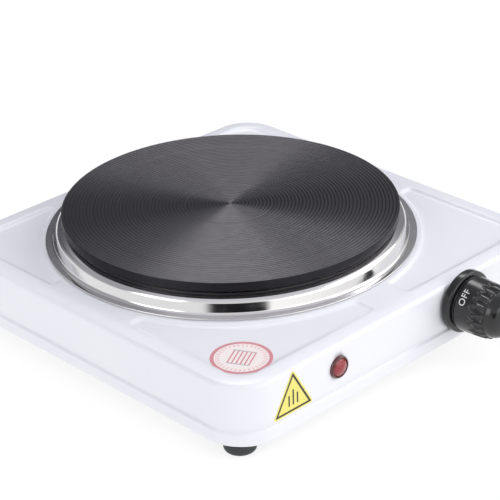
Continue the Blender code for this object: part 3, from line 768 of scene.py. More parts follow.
    def top_rows(self, ray: np.ndarray, edge: np.ndarray) -> np.ndarray:
        """Distances from the plate's axis of the top's rows, for every column.

        Rows gather at the panels' arc and at their outer edge, where the distance along the ray
        is found by halving an interval until the depth inside the outline is right.

        Args:
            ray: unit direction of each column, from the plate's axis.
            edge: distance at which the edge rounding starts.

        Returns:
            Rows by columns of distances, rising along each column.
        """
        short, past, count = 0.5, 2.1, 10
        slope = self.panel_arc + np.linspace(-short, past, count)
        arcs = np.concatenate([[self.hole, 98.0, 101.0, 102.4, 103.1], slope])
        rim_slope = self.half - self.panel_half + np.linspace(past, -short, count)
        outer = []
        for inset in np.concatenate([rim_slope, [7.4, 5.9, 4.8, 3.7]]):
            near, far = np.full(len(edge), 60.0), edge.copy()
            for _ in range(40):
                half_way = (near + far) / 2
                deep = self.depth_inside(self.plate_axis + half_way[:, None] * ray) > inset
                near, far = np.where(deep, half_way, near), np.where(deep, far, half_way)
            outer.append((near + far) / 2)
        outer = np.array(outer)
        share = np.linspace(0.0, 1.0, 12)[1:-1, None]
        between = arcs[-1] * (1 - share) + outer[0] * share
        inner = np.repeat(arcs[:, None], len(edge), axis=1)
        rows = np.sort(np.concatenate([inner, between, outer]), axis=0)
        least_gap = 0.04
        return np.minimum(rows, edge - least_gap * np.arange(len(rows), 0, -1)[:, None])

    def grid(self) -> np.ndarray:
        """The whole shell as one closed grid.

        Rows run from the plate's opening over the top, round the edge (a quarter circle), down
        the side, out over the hem's joggle, round the lower lip and back up inside, one sheet
        thickness away.

        Returns:
            Rows by columns by 3, closed both ways.
        """
        along = self.column_places()
        start = self.outline(along, self.rounding) - self.plate_axis
        edge = np.linalg.norm(start, axis=1)
        ray = start / edge[:, None]
        reach = self.top_rows(ray, edge)
        flat = self.plate_axis + reach[..., None] * ray
        shown = np.concatenate([flat, (self.top - self.fall(flat))[..., None]], axis=-1)
        hidden_z = self.top - self.sheet - self.fall(flat, self.sheet)
        hidden = np.concatenate([flat, hidden_z[..., None]], axis=-1)[::-1]

        hem_top = self.bottom + self.hem_height
        side_z = self.top - self.crown - self.rounding
        quarter = np.linspace(0.0, np.pi / 2, 9)
        outer = [(self.rounding * (1 - np.sin(a)), side_z + self.rounding * np.cos(a)) for a in quarter]
        outer += [(0.0, z) for z in np.linspace(side_z, hem_top + self.joggle * 1.3, 5)[1:]]
        outer += [(self.hem_groove * math.sin(np.pi * t) ** 2, hem_top + self.joggle * (1.3 - 0.8 * t))
                  for t in np.linspace(0.0, 1.0, 7)[1:]]
        outer += [(-self.hem_step * float(smoothstep(t)), hem_top + self.joggle * (0.5 - t))
                  for t in np.linspace(0.0, 1.0, 9)[1:]]
        lip = self.sheet / 2
        outer += [(-self.hem_step, z)
                  for z in np.linspace(hem_top - self.joggle / 2, self.bottom + lip, 4)[1:]]
        outer += [(-self.hem_step + lip * (1 - np.cos(a)), self.bottom + lip * (1 - np.sin(a)))
                  for a in np.linspace(0.0, np.pi, 9)[1:]]
        inner_z = hem_top - self.joggle / 2 - self.sheet / 2
        outer += [(self.sheet - self.hem_step, inner_z), (self.sheet, inner_z + self.joggle),
                  (self.sheet, side_z - 1.0)]
        small = self.rounding - self.sheet
        outer += [(self.sheet + small * (1 - np.cos(a)), side_z + small * np.sin(a))
                  for a in quarter[:-1:2]]
        rim = [np.column_stack([self.outline(along, inset), np.full(len(along), z)])
               for inset, z in outer]
        grid = np.concatenate([shown, np.array(rim), hidden])
        grid[..., :2] += self.centre
        return grid

    def cut_hole(self, shell: Object, node: str, radius: float) -> None:
        """Drill a round hole along Y through the wall round a CAD node's middle."""
        reach, columns = 12.0, 64
        profile = np.array([(0.0, -reach), (radius, -reach), (radius, reach), (0.0, reach)])
        drill = lathe("drill", profile, tuple(middle(node)), Axis.FRONT, columns, loop_rows=False)
        cut = shell.modifiers.new("hole", "BOOLEAN")
        cut.object, cut.operation, cut.solver = drill, "DIFFERENCE", "EXACT"
        drilled = settled_mesh(shell)
        shell.modifiers.clear()
        shell.data = drilled
        bpy.data.objects.remove(drill)

    def build(self, finish: Material) -> None:
        """Make the shell, cut the control holes and dress it."""
        shell = surface("housing", self.grid(), loop_rows=True, sharp=50.0)
        for node, radius in self.drilled:
            self.cut_hole(shell, node, radius)
        fit(shell, finish, nodes=("top_housing",))


@dataclass
class Feet:
    """Four moulded rubber feet with a screw recess."""

    radius: float = 8.6
    neck: float = 7.0
    shoulder: float = 5.7
    recess: float = 4.4
    seat: float = 3.0
    screw_hole: float = 2.3
    columns: int = 72

    def build(self, finish: Material) -> None:
        """Turn one foot at each corner."""
        for tag in ("front_left", "front_right", "rear_left", "rear_right"):
            node = f"foot_{tag}"
            place, top = middle(node), highest(node)[2]
            profile = rounded_profile([
                (self.neck, top, 0.0), (self.neck, self.shoulder, 0.15),
                (self.radius, self.shoulder, 0.4), (self.radius, 2.6, 0.9),
                (self.radius - 0.6, 0.7, 0.7), (self.radius - 1.6, 0.0, 0.5),
                (self.recess + 0.2, 0.0, 0.3), (self.recess, self.seat, 0.3),
                (self.screw_hole, self.seat, 0.2), (self.screw_hole, top, 0.0)], 4)
            foot = lathe(f"{node}_moulding", profile, (*place[:2], 0.0), Axis.UP, self.columns)
            fit(foot, finish, nodes=(node,))


# ---------------------------------------------------------------- plate and ring
@dataclass
class TrimRing:
    """The polished ring: flat flange, leaning wall, rolled shoulder and a band up to the plate."""

    flange: float = 102.0
    flange_top: float = 41.4
    wall_foot: float = 97.4
    wall_head: float = 95.9
    collar: float = 88.1
    collar_foot: float = 43.0
    sheet: float = 0.8
    columns: int = 288

    def build(self, finish: Material) -> None:
        """Turn the ring."""
        place = middle("trim_ring")
        top = highest("trim_ring")[2]
        back = self.collar + self.sheet
        shown = [(self.collar, self.collar_foot, 0.0), (self.collar, top - 0.6, 0.5), (90.0, top, 0.9),
                 (94.6, top - 1.4, 0.9), (self.wall_head, 47.2, 0.8), (self.wall_foot, 42.2, 0.7),
                 (98.4, self.flange_top, 0.6), (self.flange, self.flange_top, 0.3),
                 (self.flange, self.flange_top - self.sheet, 0.0)]
        hidden = [(self.wall_foot + 0.6, self.flange_top - self.sheet, 0.3),
                  (self.wall_foot - 0.9, self.flange_top, 0.3), (self.wall_head - 0.9, 46.8, 0.4),
                  (94.2, top - 2.3, 0.3), (89.8, top - 0.9, 0.3), (back, top - 1.4, 0.3),
                  (back, self.collar_foot, 0.0)]
        ring = lathe("trim_ring_polished", rounded_profile(shown + hidden, 6), (*place[:2], 0.0),
                     Axis.UP, self.columns, sharp=60.0)
        fit(ring, finish, nodes=("trim_ring",))


@dataclass
class CookingPlate:
    """The cast-iron plate, its face cut with fine concentric grooves."""

    radius: float = 92.5
    face_radius: float = 91.4
    rim: float = 52.1
    ceiling: float = 50.0
    skirt: float = 87.4
    skirt_foot: float = 43.8
    hub: float = 9.5
    hub_foot: float = 38.9
    stud_hole: float = 3.4
    groove_pitch: float = 1.95
    groove_depth: float = 0.17
    groove_fall: float = 0.88
    first_groove: float = 2.4
    last_groove: float = 90.9
    ring_lines: tuple[float, ...] = (24.0, 75.6)
    line_depth: float = 0.16
    line_width: float = 0.55
    columns: int = 264

    def face(self) -> np.ndarray:
        """The grooved face as (radius, drop) rows.

        Inside the grooved band, t runs from 0 to 1 across each groove. The face falls evenly
        outwards until t = fall, then rises back in a steeper flank, and each ring line adds a
        deeper, narrow bell on top.
        """
        turns = round((self.last_groove - self.first_groove) / self.groove_pitch)
        pitch = (self.last_groove - self.first_groove) / turns
        shares = np.array([0.0, 0.15, 0.45, 0.73, self.groove_fall, 0.95])
        r = self.first_groove + pitch * (np.arange(turns)[:, None] + shares).ravel()
        t = np.tile(shares, turns)
        rise = (1.0 - t) / (1.0 - self.groove_fall)
        drop = self.groove_depth * np.minimum(t / self.groove_fall, rise)
        for line in self.ring_lines:
            drop += self.line_depth * np.exp(-((r - line) / self.line_width) ** 2)
        nub = np.array([(0.0, -0.05), (0.5, 0.0), (0.9, 0.22), (1.4, 0.1)])
        return np.concatenate([nub, np.column_stack([r, drop])])

    def build(self, finish: Material) -> None:
        """Turn the plate."""
        place, top = middle("hot_plate"), highest("hot_plate")[2]
        lowered = 0.05
        face = self.face()
        face[:, 1] = top - face[:, 1] - lowered
        edge = [(self.face_radius, top - lowered, 0.0), (self.radius, top - 0.1, 0.55),
                (self.radius, self.rim, 0.5), (89.6, self.rim, 0.2), (89.4, 50.4, 0.3)]
        skirt = [(self.skirt, 50.4, 0.2), (self.skirt, self.skirt_foot, 0.3),
                 (self.skirt - 2.8, self.skirt_foot, 0.3), (self.skirt - 3.4, self.ceiling, 0.3)]
        rib = [(50.0, self.ceiling, 0.3), (49.5, 45.0, 0.3), (47.5, 45.0, 0.3),
               (47.0, self.ceiling, 0.3)]
        hub = [(self.hub, self.ceiling, 0.3), (self.hub - 1.0, self.hub_foot, 0.2),
               (self.stud_hole, self.hub_foot, 0.2), (self.stud_hole, 50.5, 0.2), (0.0, 50.5, 0.0)]
        profile = np.concatenate([face, rounded_profile(edge + skirt + rib + hub, 3)])
        plate = lathe("cooking_plate", profile, (*place[:2], 0.0), Axis.UP, self.columns,
                      loop_rows=False, sharp=60.0)
        fit(plate, finish, nodes=("hot_plate",))


# ---------------------------------------------------------------- controls
@dataclass
class Knob:
    """The black knob: skirt, fluted grip, smooth nose, and its printed dial."""

    flutes: int = 20
    flute_depth: float = 1.1
    flute_start: float = 16.0
    flute_bow: float = 4.0
    flute_run: float = 2.6
    fluted_from: float = 12.9
    skirt_back: float = 1.2
    columns: int = 384
    off_angle: float = 50.0
    numbers: int = 5
    first_number: float = 106.0
    number_step: float = 39.0
    letter_height: float = 3.6
    capital_share: float = 0.7
    letter_line: float = 13.4

    def __post_init__(self) -> None:
        """Read the knob's axis and the front face's place from the frame."""
        self.axis_place = middle("control_spindle")
        self.face_y = float(highest("knob")[1]) + self.skirt_back

    def profile(self) -> np.ndarray:
        """(radius, distance forward) rows from the nose back over the skirt and into the hub."""
        nose = rounded_profile([
            (0.0, 33.0, 0.0), (4.5, 32.9, 1.5), (8.0, 32.2, 1.5), (10.5, 30.8, 1.0),
            (12.2, 28.0, 0.8), (12.6, 25.8, 0.3), (13.3, 25.5, 0.35), (14.05, 24.4, 0.0)], 5)
        forward = np.linspace(24.0, 8.9, 40)
        grip = np.column_stack([self.grip_radius(forward), forward])
        skirt = rounded_profile([
            (15.1, 8.6, 0.0), (15.1, 8.0, 0.3), (14.2, 7.8, 0.2), (14.2, 6.4, 0.25),
            (16.3, 6.1, 0.3), (17.0, 5.5, 0.4), (17.0, 1.5, 0.4), (14.0, self.skirt_back, 0.3),
            (14.0, 5.0, 0.3), (6.0, 5.0, 0.3), (6.0, 4.2, 0.3), (3.3, 4.2, 0.3), (3.3, 21.5, 0.3),
            (0.0, 21.5, 0.0)], 4)
        return np.concatenate([nose, grip, skirt])

    def grip_radius(self, forward: np.ndarray) -> np.ndarray:
        """Radius of the plain grip at a distance forward of the face."""
        return np.interp(forward, (8.8, 22.0, 24.4), (15.1, 14.35, 14.05))

    def build(self, finish: Material, paint: Material) -> None:
        """Turn the knob, cut its flutes and print the dial.

        Within each flute, t runs from -1 at one ridge to 1 at the next. The cut is depth (1 - t^2),
        eased in from the line start + bow t^2, so that each flute begins with a round end. Only
        rows wider than `fluted_from` are cut, which spares the nose and the bore.
        """
        profile = self.profile()
        angle = np.linspace(0.0, 2 * np.pi, self.columns, endpoint=False)
        t = 2 * np.mod(angle * self.flutes / (2 * np.pi), 1.0) - 1
        forward = profile[:, 1:2]
        begin = self.flute_start + self.flute_bow * t[None, :] ** 2
        ease = smoothstep((forward - begin) / self.flute_run)
        outside = profile[:, 0:1] > self.fluted_from
        cut = self.flute_depth * (1 - t[None, :] ** 2) * ease * outside
        place = (self.axis_place[0], self.face_y, self.axis_place[2])
        grid = turned(profile[:, 0:1] - cut, profile[:, 1], place, Axis.FRONT, self.columns)
        fit(surface("knob_moulding", grid, sharp=38.0), finish, Body.KNOB, ("knob",))
        self.print_word("OFF", self.off_angle, paint)
        for k in range(self.numbers):
            angle = self.off_angle + self.first_number + self.number_step * k
            self.print_word(str(k + 1), angle, paint)

    def flat_word(self, word: str) -> Mesh:
        """A word as thin letters lying flat, cut into triangles small enough to bend."""
        longest = 0.6 * MM
        curve = bpy.data.curves.new(f"word_{word}", "FONT")
        curve.body, curve.align_x = word, "CENTER"
        curve.size = self.letter_height / self.capital_share * MM
        curve.extrude = 0.04 * MM
        curve.space_character = 1.06
        holder = bpy.data.objects.new(f"word_{word}", curve)
        bpy.context.scene.collection.objects.link(holder)
        bpy.context.view_layer.update()
        mesh = settled_mesh(holder)
        mesh.name = f"dial_{word.lower()}"
        bpy.data.objects.remove(holder)
        shape = bmesh.new()
        shape.from_mesh(mesh)
        bmesh.ops.remove_doubles(shape, verts=shape.verts, dist=1e-7)
        bmesh.ops.triangulate(shape, faces=shape.faces)
        long_edges = [edge for edge in shape.edges if edge.calc_length() > longest]
        bmesh.ops.subdivide_edges(shape, edges=long_edges, cuts=2, use_grid_fill=True)
        bmesh.ops.triangulate(shape, faces=shape.faces)
        shape.to_mesh(mesh)
        shape.free()
        return mesh

    def print_word(self, word: str, angle: float, paint: Material) -> None:
        """Print a word round the grip, its feet towards the nose.

        The flat letters' x turns into an angle round the axis, x / r, and their y runs back from
        the letter line towards the body.

        Args:
            word: what to print.
            angle: degrees from the top towards the left at which its middle lies.
            paint: the finish.
        """
        mesh = self.flat_word(word)
        places = np.empty(len(mesh.vertices) * 3, np.float32)
        mesh.vertices.foreach_get("co", places)
        u, v, w = places.reshape(-1, 3).T / MM
        forward = self.letter_line - v
        radius = self.grip_radius(forward) + w
        turn = math.radians(angle) - u / self.grip_radius(forward)
        bent = np.column_stack([self.axis_place[0] - radius * np.sin(turn), self.face_y - forward,
                                self.axis_place[2] + radius * np.cos(turn)])
        mesh.vertices.foreach_set("co", (bent * MM).astype(np.float32).ravel())
        mesh.update()
        shape = bmesh.new()
        shape.from_mesh(mesh)
        bmesh.ops.recalc_face_normals(shape, faces=shape.faces)
        shape.to_mesh(mesh)
        shape.free()
        piece = bpy.data.objects.new(mesh.name, mesh)
        bpy.context.scene.collection.objects.link(piece)
        fit(piece, paint, Body.KNOB)


@dataclass
class Indicator:
    """The indicator lamp: a round bezel and a ribbed, domed lens."""

    rim: float = 6.2
    lens: float = 4.6
    dome: float = 3.0
    dome_fall: float = 0.075
    rib: float = 0.04
    rib_pitch: float = 1.3
    reach: float = 1.9
    columns: int = 96

    def build(self, bezel_finish: Material, lens_finish: Material) -> None:
        """Turn the bezel and the lens.

        The lens stands out by dome - fall r^2, with rings of ribs as a cosine on top.
        """
        centre = middle("indicator_bezel")
        place = (centre[0], float(lowest("indicator_bezel")[1]) + self.reach, centre[2])
        bezel = lathe("lamp_bezel", rounded_profile([
            (4.3, -9.0, 0.0), (4.3, 0.2, 0.1), (4.95, 0.3, 0.1), (4.95, 1.5, 0.2), (5.35, 1.7, 0.2),
            (5.9, 1.3, 0.3), (self.rim, 0.0, 0.0), (4.9, 0.0, 0.0), (4.9, -9.0, 0.0)], 4),
            place, Axis.FRONT, self.columns)
        fit(bezel, bezel_finish, nodes=("indicator_bezel",))
        r = np.linspace(0.0, self.lens, 28)
        dome = self.dome - self.dome_fall * r ** 2 + self.rib * np.cos(2 * np.pi * r / self.rib_pitch)
        stem = np.array([(4.85, 1.0), (4.85, 0.4), (4.1, 0.35), (4.1, -7.0), (3.0, -7.0),
                         (3.0, -0.5), (0.0, -0.5)])
        lens = lathe("lamp_lens", np.concatenate([np.column_stack([r, dome]), stem]), place,
                     Axis.FRONT, self.columns, loop_rows=False)
        fit(lens, lens_finish, nodes=("indicator_lens",))


@dataclass
class Gland:
    """The moulded cord gland in the back wall."""

    bore: float = 3.8
    flange: float = 9.0
    reach: float = 3.0
    tail: float = -7.0
    columns: int = 96

    def build(self, finish: Material) -> None:
        """Turn the gland."""
        centre = middle("cord_gland")
        place = (centre[0], float(highest("cord_gland")[1]) - self.reach, centre[2])
        profile = rounded_profile([
            (self.bore, self.tail, 0.0), (self.bore, 2.4, 0.5), (4.4, self.reach, 0.3),
            (8.2, self.reach, 0.6), (self.flange, 2.0, 0.6), (self.flange, 0.3, 0.0), (6.2, 0.3, 0.0),
            (6.2, -1.3, 0.0), (7.9, -1.3, 0.3), (6.4, self.tail, 0.0)], 4)
        gland = lathe("gland_moulding", profile, place, Axis.BACK, self.columns)
        fit(gland, finish, nodes=("cord_gland",))


# ---------------------------------------------------------------- labels
@dataclass
class Labels:
    """Plain stickers: a bordered triangle with three bars, and a ringed disc with plain marks."""

    film: float = 0.12
    triangle_width: float = 25.0
    triangle_height: float = 21.4
    triangle_base: float = 16.3
    triangle_shift: float = -0.4
    triangle_margin: float = 0.9
    border: float = 1.1
    bars: tuple[tuple[float, float], ...] = ((-2.9, 6.0), (0.0, 8.6), (2.9, 6.0))
    bar_foot: float = 3.4
    bar_width: float = 0.95
    gap: float = 0.3
    ring_margin: float = 0.15
    ring_width: float = 2.0
    ticks: int = 34
    tick_radius: float = 12.0
    tick_reach: float = 1.1
    tick_width: float = 0.9
    square_turn: float = 28.0
    square_half: float = 6.0
    stripes: int = 6
    stripe_start: float = -5.6
    stripe_step: float = 2.2
    stripe_width: float = 0.75
    side_offset: float = 6.4
    side_width: float = 0.8

    def __post_init__(self) -> None:
        """Read the triangle's place from the frame."""
        self.triangle_x = float(middle("triangle_label")[0]) + self.triangle_shift

    def triangle(self, inset: float, corner: float, steps: int = 6) -> np.ndarray:
        """Outline (x, z) of the triangle, moved in by `inset`, with round corners.

        Each corner is an arc between the normals of its two sides, about a centre that lies
        `corner` in from both.

        Args:
            inset: how far in from the border's outer edge; negative moves out.
            corner: radius of the corners.
            steps: segments in each corner.

        Returns:
            (x, z) rows, anticlockwise.
        """
        x, base, reach = self.triangle_x, self.triangle_base, self.triangle_width / 2
        tips = np.array([(x - reach, base), (x + reach, base), (x, base + self.triangle_height)])
        sides = np.roll(tips, -1, axis=0) - tips
        lengths = np.linalg.norm(sides, axis=1)
        normals = np.column_stack([sides[:, 1], -sides[:, 0]]) / lengths[:, None]
        levels = np.einsum("ij,ij->i", normals, tips) - inset - corner
        rows = []
        for k in range(3):
            first, second = normals[k - 1], normals[k]
            centre = np.linalg.solve([first, second], [levels[k - 1], levels[k]])
            start = math.atan2(first[1], first[0])
            sweep = (math.atan2(second[1], second[0]) - start) % (2 * math.pi)
            angle = start + sweep * np.linspace(0.0, 1.0, steps + 1)
            rows.append(centre + corner * np.column_stack([np.cos(angle), np.sin(angle)]))
        return np.concatenate(rows)

    def build_triangle(self, yellow: Material, black: Material) -> None:
        """Cut the triangle's film, its border and its bars."""
        face = float(highest("triangle_label")[1]) + self.gap
        outline = self.triangle(-self.triangle_margin, 1.2)
        fit(flat_plate("triangle_film", outline, face, face - self.film, True), yellow,
            nodes=("triangle_label",))
        layer = (face - 0.5 * self.film, face - 1.5 * self.film, True)
        border = flat_plate("triangle_border", self.triangle(0.0, 0.2), *layer,
                            self.triangle(self.border, 0.2))
        fit(border, black)
        for k, (offset, height) in enumerate(self.bars, 1):
            place = (self.triangle_x + offset, self.triangle_base + self.bar_foot + height / 2)
            bar = strip(np.array(place), np.array((0.0, height / 2)), self.bar_width)
            fit(flat_plate(f"triangle_bar_{k}", bar, *layer), black)

    def build_disc(self, white: Material, red: Material, pale: Material, grey: Material) -> None:
        """Cut the disc's film, its ring, a round of ticks and the striped square in the middle."""
        hub = middle("round_label")[:2]
        radius = float(highest("round_label")[0] - hub[0])
        floor = float(lowest("round_label")[2]) - self.gap
        film = flat_plate("round_film", circle(hub, radius), floor, floor + self.film, False)
        fit(film, white, nodes=("round_label",))
        layer = (floor + 0.5 * self.film, floor + 1.4 * self.film, False)
        ring = flat_plate("round_border", circle(hub, radius - self.ring_margin), *layer,
                          circle(hub, radius - self.ring_width))
        fit(ring, red)
        for k in range(self.ticks):
            angle = 2 * np.pi * k / self.ticks
            out = np.array([math.cos(angle), math.sin(angle)])
            tick = strip(hub + self.tick_radius * out, self.tick_reach * out, self.tick_width)
            fit(flat_plate(f"round_tick_{k + 1}", tick, *layer), pale)
        turn = math.radians(self.square_turn)
        right = np.array([math.cos(turn), math.sin(turn)])
        up = np.array([-math.sin(turn), math.cos(turn)])
        for k in range(self.stripes):
            place = hub + (self.stripe_start + self.stripe_step * k) * up
            stripe = strip(place, self.square_half * right, self.stripe_width)
            fit(flat_plate(f"round_stripe_{k + 1}", stripe, *layer), red)
        for k, offset in enumerate((-self.side_offset, self.side_offset), 1):
            side = strip(hub + offset * right, self.square_half * up, self.side_width)
            fit(flat_plate(f"round_side_{k}", side, *layer), grey)


# ---------------------------------------------------------------- carried-over nodes
CARRIED: dict[str, tuple[str, ...]] = {
    "zinc": ("bottom_cover", "centre_stud", "mounting_bar", "stud_washer", "stud_nut", "lamp_retainer",
             "control_spindle", "earth_stud", "corner_bracket", "foot_screw"),
    "shield": ("heat_shield_pan",),
    "sheath": ("heating_element",),
    "wool": ("insulation_disc",),
    "brass": ("spindle_bush", "bush_nut", "thermostat_tab", "thermostat_blade", "terminal_screw"),
    "ceramic": ("thermostat_body", "terminal_block", "thermal_fuse"),
    "bulb": ("neon_bulb",),
    "sleeve": ("lead_live", "lead_neutral", "lead_load", "lead_element", "lamp_lead"),
    "earth": ("lead_earth",),
    "foil": ("rating_plate",),
}


def dress_carried(finishes: dict[str, Material]) -> None:
    """Give every CAD node that stays its finish, by the start of its name.

    Args:
        finishes: materials by the keys of CARRIED.
    """
    for key, starts in CARRIED.items():
        for name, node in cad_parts.items():
            if not name.startswith(starts):
                continue
            if not node.material_slots:
                node.data.materials.append(None)
            for place in node.material_slots:
                place.material = finishes[key]
            LOG.info("%s: %s", name, key)


# ---------------------------------------------------------------- studio
@dataclass(frozen=True)
class Card:
    """A soft-edged patch of the surroundings, placed in degrees from the camera's own azimuth."""

    azimuth: float
    elevation: float
    half_width: float
    half_height: float
    colour: Colour
    soft: float


@dataclass
class Studio:
    """Floor, soft lights, surroundings and camera."""

    azimuth: float = -43.8
    elevation: float = 27.3
    distance: float = 1087.92
    roll: float = -1.7
    shift: tuple[float, float] = (2.23, 26.68)
    aim: Point = (0.0, 15.0, 1.466)
    lens: float = 140.81
    sensor: float = 36.0
    floor_reach: float = 6.0
    floor_glow: float = 0.77
    sky_strength: float = 1.04
    sky_low: Colour = (0.95, 0.95, 0.96)
    sky_high: Colour = (0.70, 0.70, 0.76)
    cards: tuple[Card, ...] = (
        Card(-110.0, 38.0, 42.0, 26.0, (0.42, 0.42, 0.45), 14.0),
        Card(-174.0, 8.0, 48.0, 27.0, (0.27, 0.27, 0.29), 16.0),
        Card(-158.0, 8.0, 24.0, 22.0, (0.11, 0.11, 0.13), 12.0),
        Card(-178.0, 52.0, 13.0, 8.0, (5.0, 5.0, 5.0), 4.0),
        Card(60.0, 20.0, 42.0, 16.0, (1.35, 1.35, 1.34), 10.0),
        Card(-50.0, 30.0, 16.0, 13.0, (3.0, 3.0, 3.0), 5.0),
        Card(3.0, 12.0, 18.0, 12.0, (0.012, 0.012, 0.014), 4.0),
    )

    def add_camera(self) -> None:
        """Place the camera: back along the view line, then moved across and up in its own plane."""
        az, el, roll = (math.radians(v) for v in (self.azimuth, self.elevation, self.roll))
        back = Vector((math.sin(az) * math.cos(el), -math.cos(az) * math.cos(el), math.sin(el)))
        across = Vector((0, 0, 1)).cross(back).normalized()
        upright = back.cross(across)
        right = math.cos(roll) * across + math.sin(roll) * upright
        top = -math.sin(roll) * across + math.cos(roll) * upright
        place = Vector(self.aim) + back * self.distance + self.shift[0] * right + self.shift[1] * top
        camera = bpy.data.objects.new("camera", bpy.data.cameras.new("camera"))
        camera.data.lens, camera.data.sensor_width = self.lens, self.sensor
        camera.data.clip_start, camera.data.clip_end = 0.05, 50.0
        matrix = Matrix((right, top, back)).transposed().to_4x4()
        matrix.translation = place * MM
        camera.matrix_world = matrix
        bpy.context.scene.collection.objects.link(camera)
        bpy.context.scene.camera = camera

    def add_floor(self) -> None:
        """Lay a wide, plain, pale floor."""
        mix = Recipe("floor_paint", (0.28, 0.28, 0.28), 0.7)
        mix.roughness(mix.noise(mix.place(), 60.0), 0.65, 0.75)
        mix.set(Emission_Color=(1.0, 1.0, 1.0, 1.0), Emission_Strength=self.floor_glow,
                Specular_IOR_Level=0.0)
        mesh = bpy.data.meshes.new("floor")
        corners = [(x * self.floor_reach, y * self.floor_reach, 0.0)
                   for x, y in ((-1, -1), (1, -1), (1, 1), (-1, 1))]
        mesh.from_pydata(corners, [], [(0, 1, 2, 3)])
        floor = bpy.data.objects.new("floor", mesh)
        mesh.materials.append(mix.material)
        bpy.context.scene.collection.objects.link(floor)

    def direction(self, azimuth: float, elevation: float) -> Vector:
        """Unit direction at an azimuth from the camera's own and an elevation, in degrees."""
        az, el = math.radians(self.azimuth + azimuth), math.radians(elevation)
        return Vector((math.sin(az) * math.cos(el), -math.cos(az) * math.cos(el), math.sin(el)))

    def add_softbox(self, name: str, azimuth: float, elevation: float, size: tuple[float, float],
                    power: float, away: float = 1.6) -> None:
        """Hang a rectangular soft light that faces the object.

        Args:
            name: the light's name.
            azimuth: degrees round from the camera.
            elevation: degrees above the horizon.
            size: width and height in metres.
            power: watts.
            away: distance in metres.
        """
        light = bpy.data.lights.new(name, "AREA")
        light.shape, light.size, light.size_y, light.energy = "RECTANGLE", *size, power
        holder = bpy.data.objects.new(name, light)
        back = self.direction(azimuth, elevation)
        holder.location = Vector((0.0, 0.02, 0.04)) + back * away
        holder.rotation_euler = back.to_track_quat("Z", "Y").to_euler()
        bpy.context.scene.collection.objects.link(holder)

    def add_surroundings(self) -> None:
        """Pale surroundings, dimmer overhead, with the cards laid over them.

        A card's share is the product of two ramps: one on the angle between a direction's azimuth
        and the card's, and one on the difference of their elevations.
        """
        world = bpy.data.worlds.new("studio")
        bpy.context.scene.world = world
        world.use_nodes = True
        sky = Nodes(world.node_tree)
        coordinates = sky.node("ShaderNodeTexCoord").outputs["Generated"]
        split = sky.node("ShaderNodeSeparateXYZ")
        sky.link(coordinates, split.inputs[0])
        elevation = sky.number("ARCSINE", split.outputs["Z"])
        colour = sky.blend(sky.span(elevation, 0.0, 1.0, 0.2, 1.2), self.sky_low, self.sky_high)
        for card in self.cards:
            parts = []
            for turn in (90.0, 0.0):
                dot = sky.node("ShaderNodeVectorMath", operation="DOT_PRODUCT")
                dot.inputs[1].default_value = self.direction(card.azimuth + turn, 0.0)
                sky.link(coordinates, dot.inputs[0])
                parts.append(dot.outputs["Value"])
            aside = sky.number("ABSOLUTE", sky.number("ARCTAN2", *parts))
            above = sky.number("SUBTRACT", elevation, math.radians(card.elevation))
            shares = []
            for value, reach in ((aside, card.half_width),
                                 (sky.number("ABSOLUTE", above), card.half_height)):
                start, stop = (math.radians(reach + end * card.soft / 2) for end in (-1, 1))
                shares.append(sky.span(value, 1.0, 0.0, start, stop))
            colour = sky.blend(sky.number("MULTIPLY", *shares), colour, card.colour)
        background = sky.tree.nodes["Background"]
        sky.link(colour, background.inputs["Color"])
        background.inputs["Strength"].default_value = self.sky_strength

    def build(self) -> None:
        """Set the studio up."""
        bpy.context.scene.view_settings.view_transform = "Standard"
        self.add_camera()
        self.add_floor()
        self.add_surroundings()
        self.add_softbox("front_softbox", 52.0, 20.0, (1.0, 0.6), 2.2)
        self.add_softbox("right_softbox", 100.0, 34.0, (0.8, 0.5), 2.0, 0.9)


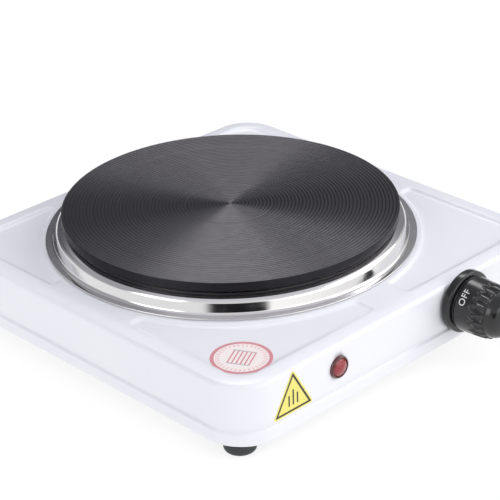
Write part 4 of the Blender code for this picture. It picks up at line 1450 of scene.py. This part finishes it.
def main() -> None:
    """Build the hot plate and its studio."""
    logging.basicConfig(level=logging.INFO, format="%(name)s: %(message)s")
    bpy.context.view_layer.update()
    Studio().build()

    plate_axis = tuple(middle("hot_plate"))
    plastic = Moulding("black_gloss", (0.006, 0.006, 0.007), (0.011, 0.011, 0.012), (0.15, 0.22),
                       grain=0.9, depth=0.003, coat=0.15).make()
    ink_black = Print("black_ink", (0.02, 0.018, 0.01), (0.05, 0.045, 0.02)).make()
    ink_red = Print("pink_ink", (0.60, 0.20, 0.24), (0.68, 0.30, 0.33)).make()
    ink_pale = Print("pale_pink_ink", (0.78, 0.52, 0.54), (0.84, 0.62, 0.63)).make()
    film = Print("white_film", (0.90, 0.83, 0.81), (0.88, 0.79, 0.77)).make()
    ink_grey = Print("grey_ink", (0.45, 0.43, 0.44), (0.55, 0.53, 0.54)).make()
    ink_yellow = Print("yellow_ink", (0.80, 0.70, 0.13), (0.86, 0.77, 0.24)).make()

    Housing().build(Enamel().make())
    Feet().build(Moulding("foot_rubber", (0.020, 0.026, 0.027), (0.035, 0.042, 0.042),
                          (0.55, 0.7)).make())
    TrimRing().build(BrightSteel(plate_axis).make())
    CookingPlate().build(TurnedIron(plate_axis).make("turned_iron"))
    Knob().build(plastic, Print("dial_paint", (0.80, 0.80, 0.80), (0.66, 0.66, 0.67)).make())
    Indicator().build(Lens("bezel_red", (0.11, 0.012, 0.016), (0.06, 0.008, 0.010), 0.0).make(),
                      Lens("lens_red", (0.34, 0.018, 0.026), (0.22, 0.010, 0.016), 0.0).make())
    Gland().build(plastic)
    labels = Labels()
    labels.build_triangle(ink_yellow, ink_black)
    labels.build_disc(film, ink_red, ink_pale, ink_grey)
    dress_carried({
        "zinc": Metal("zinc_plate", (0.52, 0.53, 0.55), (0.64, 0.65, 0.67), (0.3, 0.45)).make(),
        "shield": Metal("shield_steel", (0.40, 0.40, 0.41), (0.52, 0.51, 0.50), (0.3, 0.5)).make(),
        "sheath": Metal("sheath_steel", (0.20, 0.18, 0.17), (0.30, 0.26, 0.23), (0.4, 0.6)).make(),
        "wool": Fibre("mineral_wool_felt", (0.62, 0.60, 0.54), (0.45, 0.42, 0.36), 0.7, 0.2).make(),
        "brass": Metal("turned_brass", (0.66, 0.46, 0.17), (0.78, 0.58, 0.26), (0.28, 0.42)).make(),
        "ceramic": Moulding("fired_ceramic", (0.74, 0.71, 0.64), (0.82, 0.80, 0.74), (0.4, 0.55),
                            grain=0.5).make(),
        "bulb": Lens("bulb_glass", (0.92, 0.80, 0.70), (0.86, 0.70, 0.58), 0.8).make(),
        "sleeve": Fibre("glass_sleeving", (0.70, 0.68, 0.62), (0.52, 0.50, 0.44), 0.35, 0.05).make(),
        "earth": Fibre("earth_sleeving", (0.62, 0.60, 0.05), (0.06, 0.30, 0.06), 1.6, 0.03).make(),
        "foil": Metal("rating_foil", (0.66, 0.66, 0.67), (0.74, 0.74, 0.75), (0.3, 0.4)).make(),
    })


if __name__ == "__main__":
    main()
